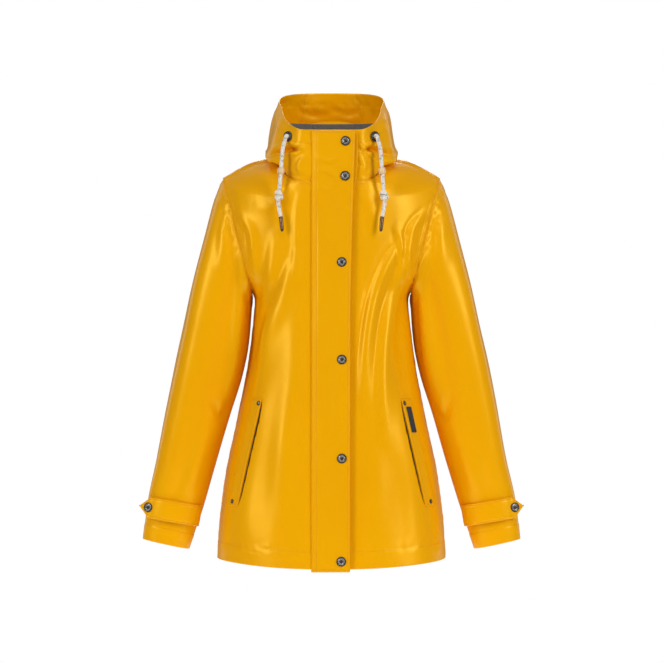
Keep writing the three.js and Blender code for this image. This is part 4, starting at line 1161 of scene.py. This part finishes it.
for _, side in sides:
    grid = fronts[side][0]
    normals = gridNormals(grid, side)
    _, toSide, toHem, toNeck = fromEdges(grid)
    for value in (2.2, 7.8):
        sew("jacket_body", isoLine(grid, normals, toSide, value, True))
    sew("jacket_body", isoLine(grid, normals, toHem, hem["depth"], False))
    for value in (2.2, 5.8):
        sew("jacket_body", isoLine(grid, normals, toNeck, value, False)[14:])
    grid = sleeves[side]
    sew(f"{'right' if side < 0 else 'left'}_sleeve",
        isoLine(grid, gridNormals(grid, side, closed=True), fromEdges(grid)[3], cuff["hem"], False))
normals = gridNormals(back, -1)
toRight, toLeft, toHem, _ = fromEdges(back)
for field in (toRight, toLeft):
    for value in (2.2, 7.8):
        sew("jacket_body", isoLine(back, normals, field, value, True))
sew("jacket_body", isoLine(back, normals, toHem, hem["depth"], False))
hoodNormals = gridNormals(hood)
hoodAcross, _, fromNeck, fromRim = fromEdges(hood)
sew("jacket_body", isoLine(hood, hoodNormals, fromRim, rimCasing, False))
for column in (seamColumn, otherColumn):
    beside = hoodAcross - hoodAcross[:, column:column + 1]
    for value in (-5.8, -2.2, 2.2, 5.8):
        sew("jacket_body", isoLine(hood, hoodNormals, beside, value, True))


# Front closure, in its own leaning frame: x across, y inwards, z up the front.
def frontPoint(x, y, z):
    return np.stack(np.broadcast_arrays(
        x, y * math.cos(frontLean) + z * math.sin(frontLean) - hemDepth,
        z * math.cos(frontLean) - y * math.sin(frontLean)), axis=-1).astype(float)


def flapPoint(x, y, z):
    return frontPoint(flapHinge + x * math.cos(flapTilt) + y * math.sin(flapTilt),
                      y * math.cos(flapTilt) - x * math.sin(flapTilt) - 0.5, z)


def acrossFlap(x):
    return (x - flapHinge) / math.cos(flapTilt)


flapOut = unit(flapPoint(0.0, -1.0, 0.0) - flapPoint(0.0, 0.0, 0.0))
flap = {"top": 787, "low": -1, "edges": [(-1, 32), (480, 33), (603, 36), (700, 39), (787, 42)]}
flapPuckers = [
    ([(-30, 742), (-6, 730), (14, 736)], 1.1, 5, 0.4), ([(-26, 716), (0, 708), (18, 690)], 1.2, 6, 0.5),
    ([(-30, 690), (-12, 680), (4, 682)], 0.9, 5, 0.3), ([(6, 672), (18, 650), (28, 640)], 0.9, 6, 0.2),
    ([(-22, 640), (-18, 560), (-20, 470)], 0.8, 8, 0), ([(8, 420), (12, 330), (8, 240)], 0.8, 9, 0),
]


def shapeFlap():
    z = flap["low"] + (flap["top"] - flap["low"]) * bunched(300, 0.5)
    wide = acrossFlap(np.interp(z, *np.array(flap["edges"], float).T))
    x = wide[:, None] * bunched(64, 0.6)[None]
    z = np.repeat(z[:, None], 64, axis=1)
    far = wide[:, None] - x
    fold = ridges(flapPoint(x, 0 * x, z), flapPuckers)
    free = smooth(2, 12, x) * smooth(2, 10, far)
    out = flapThickness + 0.5 * free + np.maximum(fold, -0.6) * free
    out += 0.5 * np.maximum(wobble(np.stack([x, 0 * x, z], axis=-1), 17, 90), -0.8) * free
    for value, distance in ((2.6, x), (9.2, x), (3.0, far), (3.0, z - flap["low"]), (3.0, flap["top"] - z)):
        out -= 0.28 * np.exp(-((distance - value) / 0.9) ** 2)
    ends = np.minimum(z - flap["low"], flap["top"] - z)
    seam = np.exp(-(np.minimum(np.minimum(x, far), ends) / 5) ** 2)
    return flapPoint(x, -out, z), seam, x, far, z


flapGrid, flapSeam, flapX, flapFar, flapZ = shapeFlap()
flapPiece = clothPiece("flap", flapGrid, flapThickness, coatedCloth, 1, seam=flapSeam)
settle(flapPiece, "storm_flap", "coated_cloth", "storm_flap")
flapNormals = gridNormals(flapGrid)
for field, value, byRow in ((flapX, 2.6, True), (flapX, 9.2, True), (flapFar, 3.0, True),
                            (flapZ, flap["low"] + 3, False), (flapZ, flap["top"] - 3, False)):
    sew("storm_flap", isoLine(flapGrid, flapNormals, field, value, byRow))

placket = {"inner": 8.5, "outer": 46, "taper": 14.5, "low": 6, "top": 780}
z = (placket["low"] + (placket["top"] - placket["low"]) * bunched(200, 0.4))[:, None]
outer = placket["outer"] - placket["taper"] * (1 - smooth(600, 740, z))
x = acrossFlap(placket["inner"] + (outer - placket["inner"]) * bunched(26, 0.5)[None])
z = z + 0 * x
x, z = np.broadcast_arrays(x, z)
placketY = 3.2 + 0.15 * wobble(np.stack([x, 0 * x, z], axis=-1), 19, 60)
placketGrid = flapPoint(x, placketY, z)
placketPiece = clothPiece("placket", placketGrid, 1.4, coatedCloth, 1)
settle(placketPiece, "jacket_body", "coated_cloth", "underlap_placket")
sew("jacket_body", placketGrid[3:-3, -4] + flapOut * 0.1)
sew("jacket_body", placketGrid[3:-3, 3] + flapOut * 0.1)

# Zip: tapes, interlocking teeth, stop box, slider and pull.
zipSize = {"bottom": 18, "top": 768, "pitch": 3.1, "edge": 16, "rest": 750}
for word, side in sides:
    x = (3.3 + (zipSize["edge"] - 3.3) * np.linspace(0, 1, 12))[None] * side
    z = np.linspace(8, zipSize["top"], 160)[:, None]
    x, z = np.broadcast_arrays(x, z)
    tape = clothPiece(f"{word}_tape", frontPoint(x, 2.5 + 0 * x, z), 0.8, zipTape, side)
    settle(tape, "jacket_body", "zip_tape", f"{word}_zip_tape")
    sew("jacket_body", frontPoint(x[:, 9], 2.4 + 0 * x[:, 9], z[:, 9]))
    tooth = smallShape(f"once_tooth_{word}", 2.0, 3.4, 2.4, 8, 5)
    start = zipSize["bottom"] + 1 + (zipSize["pitch"] / 2 if side > 0 else 0)
    line = frontPoint(np.full(2, side * 1.5), np.full(2, 2.9), np.array([start, zipSize["top"] - 1.0]))
    teeth = repeatAlong(f"{word}_teeth", [line], tooth, zipSize["pitch"], tuple(frontPoint(0.0, -1.0, 0.0)
                        - frontPoint(0.0, 0.0, 0.0)), plastic, seed=2)
    settle(teeth, "jacket_body", "zip_teeth", f"{word}_zip_teeth")


def frontBlock(name, low, high, material, bevel):
    # A rounded block in the front's frame.
    work = bmesh.new()
    bmesh.ops.create_cube(work, size=1)
    bmesh.ops.bevel(work, geom=work.edges[:], offset=bevel, segments=3, profile=0.5, affect="EDGES")
    low, high = np.array(low, float), np.array(high, float)
    places = [low + (np.array(v.co) + 0.5) * (high - low) for v in work.verts]
    faces = [[v.index for v in face.verts] for face in work.faces]
    work.free()
    places = np.array(places)
    return makeObject(name, frontPoint(places[:, 0], places[:, 1], places[:, 2]), faces, material)


def joined(name, parts):
    mesh = parts[0].data
    work = bmesh.new()
    for part in parts:
        work.from_mesh(part.data)
    work.to_mesh(mesh)
    work.free()
    for part in parts[1:]:
        bpy.data.objects.remove(part)
    parts[0].name = name
    return parts[0]


box = frontBlock("stop_box", (-3.2, 1.2, 8), (3.2, 4.6, 17), darkMetal, 0.12)
settle(box, "jacket_body", "dark_metal", "zip_bottom_box")
rest = zipSize["rest"]
slider = joined("slider", [
    frontBlock("slider_front", (-5.4, -0.2, rest), (5.4, 1.2, rest + 14), darkMetal, 0.16),
    frontBlock("slider_back", (-5.4, 4.6, rest), (5.4, 5.8, rest + 14), darkMetal, 0.16),
    frontBlock("slider_post", (-1.4, 1.0, rest + 8), (1.4, 4.8, rest + 13), darkMetal, 0.1),
    frontBlock("slider_bridge", (-1.2, -1.3, rest + 3), (1.2, -0.1, rest + 11), darkMetal, 0.2)])
settle(slider, "zip_slider", "dark_metal", "zip_slider")
pullPiece = joined("pull", [
    frontBlock("pull_bar", (-2.4, -1.9, rest - 16), (2.4, -1.0, rest + 1), darkMetal, 0.2),
    frontBlock("pull_neck", (-1.3, -2.0, rest + 0.4), (1.3, -1.35, rest + 6), darkMetal, 0.2),
    frontBlock("pull_grip", (-1.7, -2.15, rest - 14), (1.7, -1.7, rest - 5), silverMetal, 0.25)])
settle(pullPiece, "zip_pull", "dark_metal", "zip_pull")
print("front closure made")

# Snaps: a ring cap with a plain domed middle, its socket behind the cloth, and the stud that it presses on.
snapFace = [(8.1, -0.1), (8.7, 0.4), (8.75, 1.1), (8.2, 1.9), (7.4, 2.2), (6.7, 1.8), (6.35, 1.45),
            (5.6, 1.6), (5.1, 2.2), (4.4, 2.45), (3.7, 2.1), (3.3, 1.75), (2.4, 2.0), (1.3, 2.4), (0, 2.55)]


def snapPair(capName, studName, place, outwards, through, room, capBody, studBody, capNode, studNode):
    back = -through - 0.3
    socket = [(0, back - 0.5), (2.5, back - 0.5), (2.5, back - 1.8), (4.2, back - 1.9), (5.5, back - 1.6),
              (5.6, back), (2.6, back), (2.6, 0.1)]
    capProfile = rounded(socket[:4], 2) + socket[4:] + rounded(snapFace)
    cap = turnedPiece(capName, capProfile, place, outwards, darkMetal,
                      48, ((3.2, 6.5), silverMetal))
    settle(cap, capBody, "dark_metal", capNode)
    base, top = -through - room + 0.3, -through - 1.2
    stud = turnedPiece(studName, rounded([(0, base), (5, base), (5, base + 0.5), (2.6, base + 0.7),
                                          (1.8, base + 1.1), (2.05, top - 0.3), (1.6, top), (0, top)]),
                       place, outwards, darkMetal, 32)
    settle(stud, studBody, "dark_metal", studNode)


for number, (height, offset) in enumerate(zip(snapHeights, snapOffsets), 1):
    place = flapPoint(acrossFlap(offset), -flapThickness - 0.35, height)
    snapPair(f"snap_ring_{number}", f"snap_post_{number}", place, flapOut, flapThickness, 3.0, "storm_flap",
             "jacket_body", f"snap_cap_{number}", f"snap_stud_{number}")


# Cuff tabs, in a frame on the sleeve's end.
cuffCentre, sleeveTurn = (287, 0, 100), math.radians(9.6)
tab = {"half": 18.5, "tip": 61, "point": 18.5, "thickness": 2.2, "standOff": 3.6}


def cuffPoint(x, y, z, side):
    across = cuffCentre[0] + x * math.cos(sleeveTurn) - z * math.sin(sleeveTurn)
    return np.stack(np.broadcast_arrays(
        side * across, y, cuffCentre[2] + x * math.sin(sleeveTurn) + z * math.cos(sleeveTurn)),
        axis=-1).astype(float)


def tabLine():
    points = []
    for share in (0.86, 0.76, 0.64, 0.52, 0.42, 0.33, 0.24):
        cosine, sine = math.cos(share * math.pi), math.sin(share * math.pi)
        x, y = 50 * math.copysign(abs(cosine) ** (2 / 2.3), cosine), -34 * sine ** (2 / 2.3)
        points.append(np.array([x, y]) + unit([x / 50**2, y / 34**2]) * tab["standOff"])
    slope = unit([0.9, 0.44])
    points.append(points[-1] + slope * (tab["tip"] - points[-1][0]) / slope[0])
    return np.array(points)


for word, side in sides:
    path = alongLine(curveThrough(tabLine(), np.linspace(0, 7, 120)), bunched(90, 0.3))
    along = unit(np.gradient(path, axis=0))
    outwards = np.stack([along[:, 1], -along[:, 0]], axis=1)
    toTip = tab["tip"] - path[:, 0]
    half = tab["half"] * np.clip(toTip / tab["point"], 0.03, 1)
    share = bunched(30, 0.6) * 2 - 1
    crown = tab["thickness"] + 0.5 * (1 - share**4)[None] * np.ones((90, 1))
    edge = np.minimum((1 - np.abs(share))[None] * half[:, None], np.maximum(toTip, 0)[:, None])
    crown = crown - 0.5 * np.exp(-((edge - 3) / 1.1) ** 2)
    x = path[:, :1] + outwards[:, :1] * crown
    y = path[:, 1:] + outwards[:, 1:] * crown
    z = half[:, None] * share[None]
    grid = cuffPoint(x, y, z, side)
    tabPiece = clothPiece(f"{word}_tab", grid, tab["thickness"], coatedCloth, -side,
                          seam=np.exp(-(edge / 4) ** 2))
    settle(tabPiece, f"{word}_cuff_tab", "coated_cloth", f"{word}_cuff_tab")
    normals = gridNormals(grid, -side)
    for column in (4, -5):
        sew(f"{word}_cuff_tab", grid[3:-4, column] + normals[3:-4, column] * 0.1)
    sew(f"{word}_cuff_tab", grid[3, 4:-4] + normals[3, 4:-4] * 0.1)
    line = tabLine()
    away = unit(line[-1] - line[-2])
    spot = line[-2] + away * 4.5
    flat = np.array([away[1], -away[0]])
    place = cuffPoint(*(spot + flat * tab["thickness"]), 0.0, side)
    normal = unit(cuffPoint(*(spot + flat * 9), 0.0, side) - cuffPoint(*spot, 0.0, side))
    snapPair(f"{word}_cuff_ring", f"{word}_cuff_post", place + normal * 0.4, normal, tab["thickness"], 5.0,
             f"{word}_cuff_tab", f"{word}_sleeve", f"{word}_cuff_snap_cap", f"{word}_cuff_snap_stud")
print("snaps and cuff tabs made")


# Pockets: welt, bag, rivets, and the plain side label on the wearer's left.
def weltLift(share, down):
    return 2.2 + 1.3 * math.sin(math.pi * down) * (1 - share) ** 2


def slanted(inner, outer, topDrop=0, lowRise=0):
    (topX, topZ), (lowX, lowZ) = pocket["top"], pocket["bottom"]
    slope = (lowX - topX) / (topZ - lowZ)
    highX, footX = topX + slope * topDrop, lowX - slope * lowRise
    return [(highX + inner, topZ - topDrop), (highX + outer, topZ - topDrop),
            (footX + inner, lowZ + lowRise), (footX + outer, lowZ + lowRise)]


for word, side in sides:
    welt = frontPatch(side, slanted(0.4, pocket["welt"]), weltLift, 120, 18)
    toIn, toOut, toTop, toLow = fromEdges(welt)
    edge = np.minimum(np.minimum(toIn, toOut), np.minimum(toTop, toLow))
    normals = gridNormals(welt, -side)
    welt = welt - normals * 0.3 * np.exp(-((edge - 2.6) / 0.9) ** 2)[..., None]
    piece = clothPiece(f"{word}_welt", welt, 1.8, coatedCloth, -side, seam=np.exp(-(edge / 3) ** 2))
    settle(piece, "jacket_body", "coated_cloth", f"{word}_pocket_welt")
    for line in (welt[3:-3, 3], welt[3:-3, -4], welt[3, 3:-3], welt[-4, 3:-3]):
        sew("jacket_body", line + normals[5, 5] * 0.1)
    corners = [(62, 316), (132, 316), (62, 93), (171, 93)]
    layers = []
    for label, lift in (("front", lambda across, down: -2.6),
                        ("back", lambda across, down: -3.9 - 15 * (math.sin(math.pi * across)
                                                                    * math.sin(math.pi * down)) ** 0.6)):
        patch = frontPatch(side, corners, lift, 60, 30)
        layer = clothPiece(f"{word}_bag_{label}", patch, 0.8, greyKnit, -side)
        layers.append(layer)
    cutWith(layers[0], slitCutter(side, pocket["gape"] - 1, 0.5, 3.8))
    bag = joined(f"{word}_bag", layers)
    settle(bag, "jacket_body", "grey_lining", f"{word}_pocket_bag")
    for end, (x, z) in (("top", (129, 297)), ("bottom", (176, 121))):
        point, normal = onFront(side, side * x, z)
        rivet = turnedPiece(f"{word}_{end}_rivet", rounded([
            (0, -0.4), (3.8, -0.4), (4.1, 0.3), (3.5, 1.1), (2.6, 1.3), (2.2, 0.9), (1.3, 1.1), (0, 1.4)]),
            point + normal * 2.5, normal, darkMetal, 28, ((0, 2.3), silverMetal))
        settle(rivet, "jacket_body", "dark_metal", f"{word}_pocket_rivet_{end}")
label = {"width": 8, "length": 45, "drop": 14, "inset": 4.5}
strip = frontPatch(1, slanted(label["inset"], label["inset"] + label["width"], label["drop"],
                              190 - label["drop"] - label["length"]),
                   lambda share, down: 3.9, 40, 10)
labelPiece = clothPiece("side_label", strip, 0.8, labelCloth, -1)
settle(labelPiece, "jacket_body", "dark_label", "pocket_side_label")
print("pockets made")

# Back neck facing and hanger loop.
neckFacing = {"top": 806, "front": 0, "inset": 3.2}
foot = (hood[0] - hoodNormals[0] * neckFacing["inset"])[hood[0, :, 1] > neckFacing["front"]]
ends = np.sqrt(1 - np.abs(np.linspace(-0.995, 0.995, len(foot))) ** 14)[:, None]
rise = (neckFacing["top"] - foot[:, 2:3]) * ends * (0, 0, 1)
lean = foot * (-0.03, -0.03, 0)
facing = foot[None] + (rise + lean)[None] * np.linspace(0.05, 1, 26)[:, None, None]
facingPiece = clothPiece("neck_facing", facing, 1.0, greyKnit, 1)
settle(facingPiece, "jacket_body", "grey_lining", "back_neck_facing")
hanger = {"half": 30, "width": 7, "back": 68.3, "bow": 10}
loopHalf = [(30, 0), (27, -1.4), (23, -6), (18, -9.2), (0, -10)]
line = curveThrough([(-x, y) for x, y in loopHalf] + loopHalf[-2::-1], np.linspace(0, 8, 70))
z = 784 + hanger["width"] * np.linspace(0, 1, 8)[None]
x, z = np.broadcast_arrays(line[:, :1], z)
loopGrid = np.stack([x, hanger["back"] + np.broadcast_to(line[:, 1:], x.shape), z], axis=-1)
loopPiece = clothPiece("neck_loop", loopGrid, 1.4, greyKnit, 1)
settle(loopPiece, "jacket_body", "grey_lining", "hanger_loop")

# Drawcords: wearer's left, mirrored.
cord = {"radius": 3.5, "relief": 0.3, "strands": 4, "pitch": 14}
cordRoute = np.array([
    (84.5, -86, 765), (87.5, -91, 752), (89.5, -94.2, 727), (91.5, -97.4, 702), (93.5, -100.6, 677),
    (95, -103, 658.3), (93.5, -105.2, 645), (90.5, -107.4, 631)], float)
cordEndAim = np.array([88, -110.5, 604], float)
eyeletOut = unit([0.58, -0.81, 0.086])
eyeletSpot = np.array([76.6, -71.1, 776]) + eyeletOut * 3.2
eyeletProfile = [
    (4.8, -1.0), (9.0, -0.6), (9.6, 0.4), (8.7, 1.5), (7.0, 2.0), (5.4, 1.5), (4.7, 0.4), (4.8, -1.0)]
tipProfile = [
    (0, 0.3), (3.5, 0.3), (3.8, 0.9), (3.7, 3.2), (3.3, 3.5), (3.3, 4.4), (3.6, 4.8), (3.5, 12), (3.0, 23),
    (2.1, 26.6), (0, 27.3)]


def braidRelief(angles, far):
    around, along = angles / (2 * np.pi) * cord["strands"], far / cord["pitch"] * cord["strands"]
    crossing = np.maximum(np.cos(2 * np.pi * (around + along)), np.cos(2 * np.pi * (around - along)))
    return cord["relief"] * (crossing - 0.6)


for word, side in sides:
    mirror = np.array([side, 1, 1])
    spot, outwards = eyeletSpot * mirror, eyeletOut * mirror
    profile = rounded(eyeletProfile)[:-1] + eyeletProfile[:1]
    ring = turnedPiece(f"{word}_eyelet_ring", profile, spot, outwards, darkMetal, 48)
    settle(ring, "jacket_body", "dark_metal", f"{word}_eyelet")
    knots = np.vstack([eyeletSpot - eyeletOut * 1, eyeletSpot + eyeletOut * 5, cordRoute]) * mirror
    path = evenly(curveThrough(knots, np.linspace(0, len(knots) - 1, 300)), 0.5)
    rings, uvs = tubeRings(path, cord["radius"], 40, braidRelief)
    line = ringPiece(f"{word}_cord", rings, braid, uvs=uvs)
    settle(line, "jacket_body", "braided_cord", f"{word}_drawcord")

    start, end = cordRoute[1] * mirror, cordRoute[4] * mirror
    turn = np.linspace(-1, 1, 15)
    profile = [(4.0, -6.0)] + [(4.3 + 2.3 * (1 - abs(t) ** 2.6) ** 0.6, 6 * t) for t in turn] + [
        (4.0, 6.0), (4.0, -6.0)]
    middle = start + (end - start) * 0.52
    beadPiece = turnedPiece(f"{word}_bead", profile, middle, unit(end - start), wood, 36)
    settle(beadPiece, f"{word}_cord_bead", "pale_wood", f"{word}_cord_bead")

    start, end = cordRoute[4] * mirror, cordRoute[5] * mirror
    middle, down = start + (end - start) * 0.43, unit(end - start)
    first, second, _ = frameOn(down)
    turn = np.linspace(0, 1, 150)
    angle = turn * 2 * np.pi * 2.15
    reach = 4.7 * np.sin(np.pi * np.clip(turn, 0.04, 0.96)) ** 0.35
    drop = 5.6 * np.sin((turn - 0.5) * 2 * np.pi * 1.25)
    wrap = (middle + (np.cos(angle) * reach)[:, None] * first + (np.sin(angle) * reach)[:, None] * second
            + drop[:, None] * down)
    rings, uvs = tubeRings(evenly(wrap, 0.6), cord["radius"] - 0.1, 32, braidRelief)
    knotPiece = ringPiece(f"{word}_knot", rings, braid, uvs=uvs)
    settle(knotPiece, "jacket_body", "braided_cord", f"{word}_cord_knot")

    start = cordRoute[7] * mirror
    tipAim = unit(cordEndAim * mirror - start)
    tipPiece = turnedPiece(f"{word}_tip", rounded(tipProfile), start, tipAim, brownMetal, 36)
    settle(tipPiece, "jacket_body", "dark_metal", f"{word}_cord_tip")
print("neck and drawcords made")

for number, (body, lines) in enumerate(sorted(stitchLines.items())):
    stitches = repeatAlong(f"stitches_{body}", lines, stitchShape, 3.4, (0, -1, 0), thread, seed=number)
    settle(stitches, body, "coated_cloth")
bpy.data.objects.remove(stitchShape)
print("stitching made")
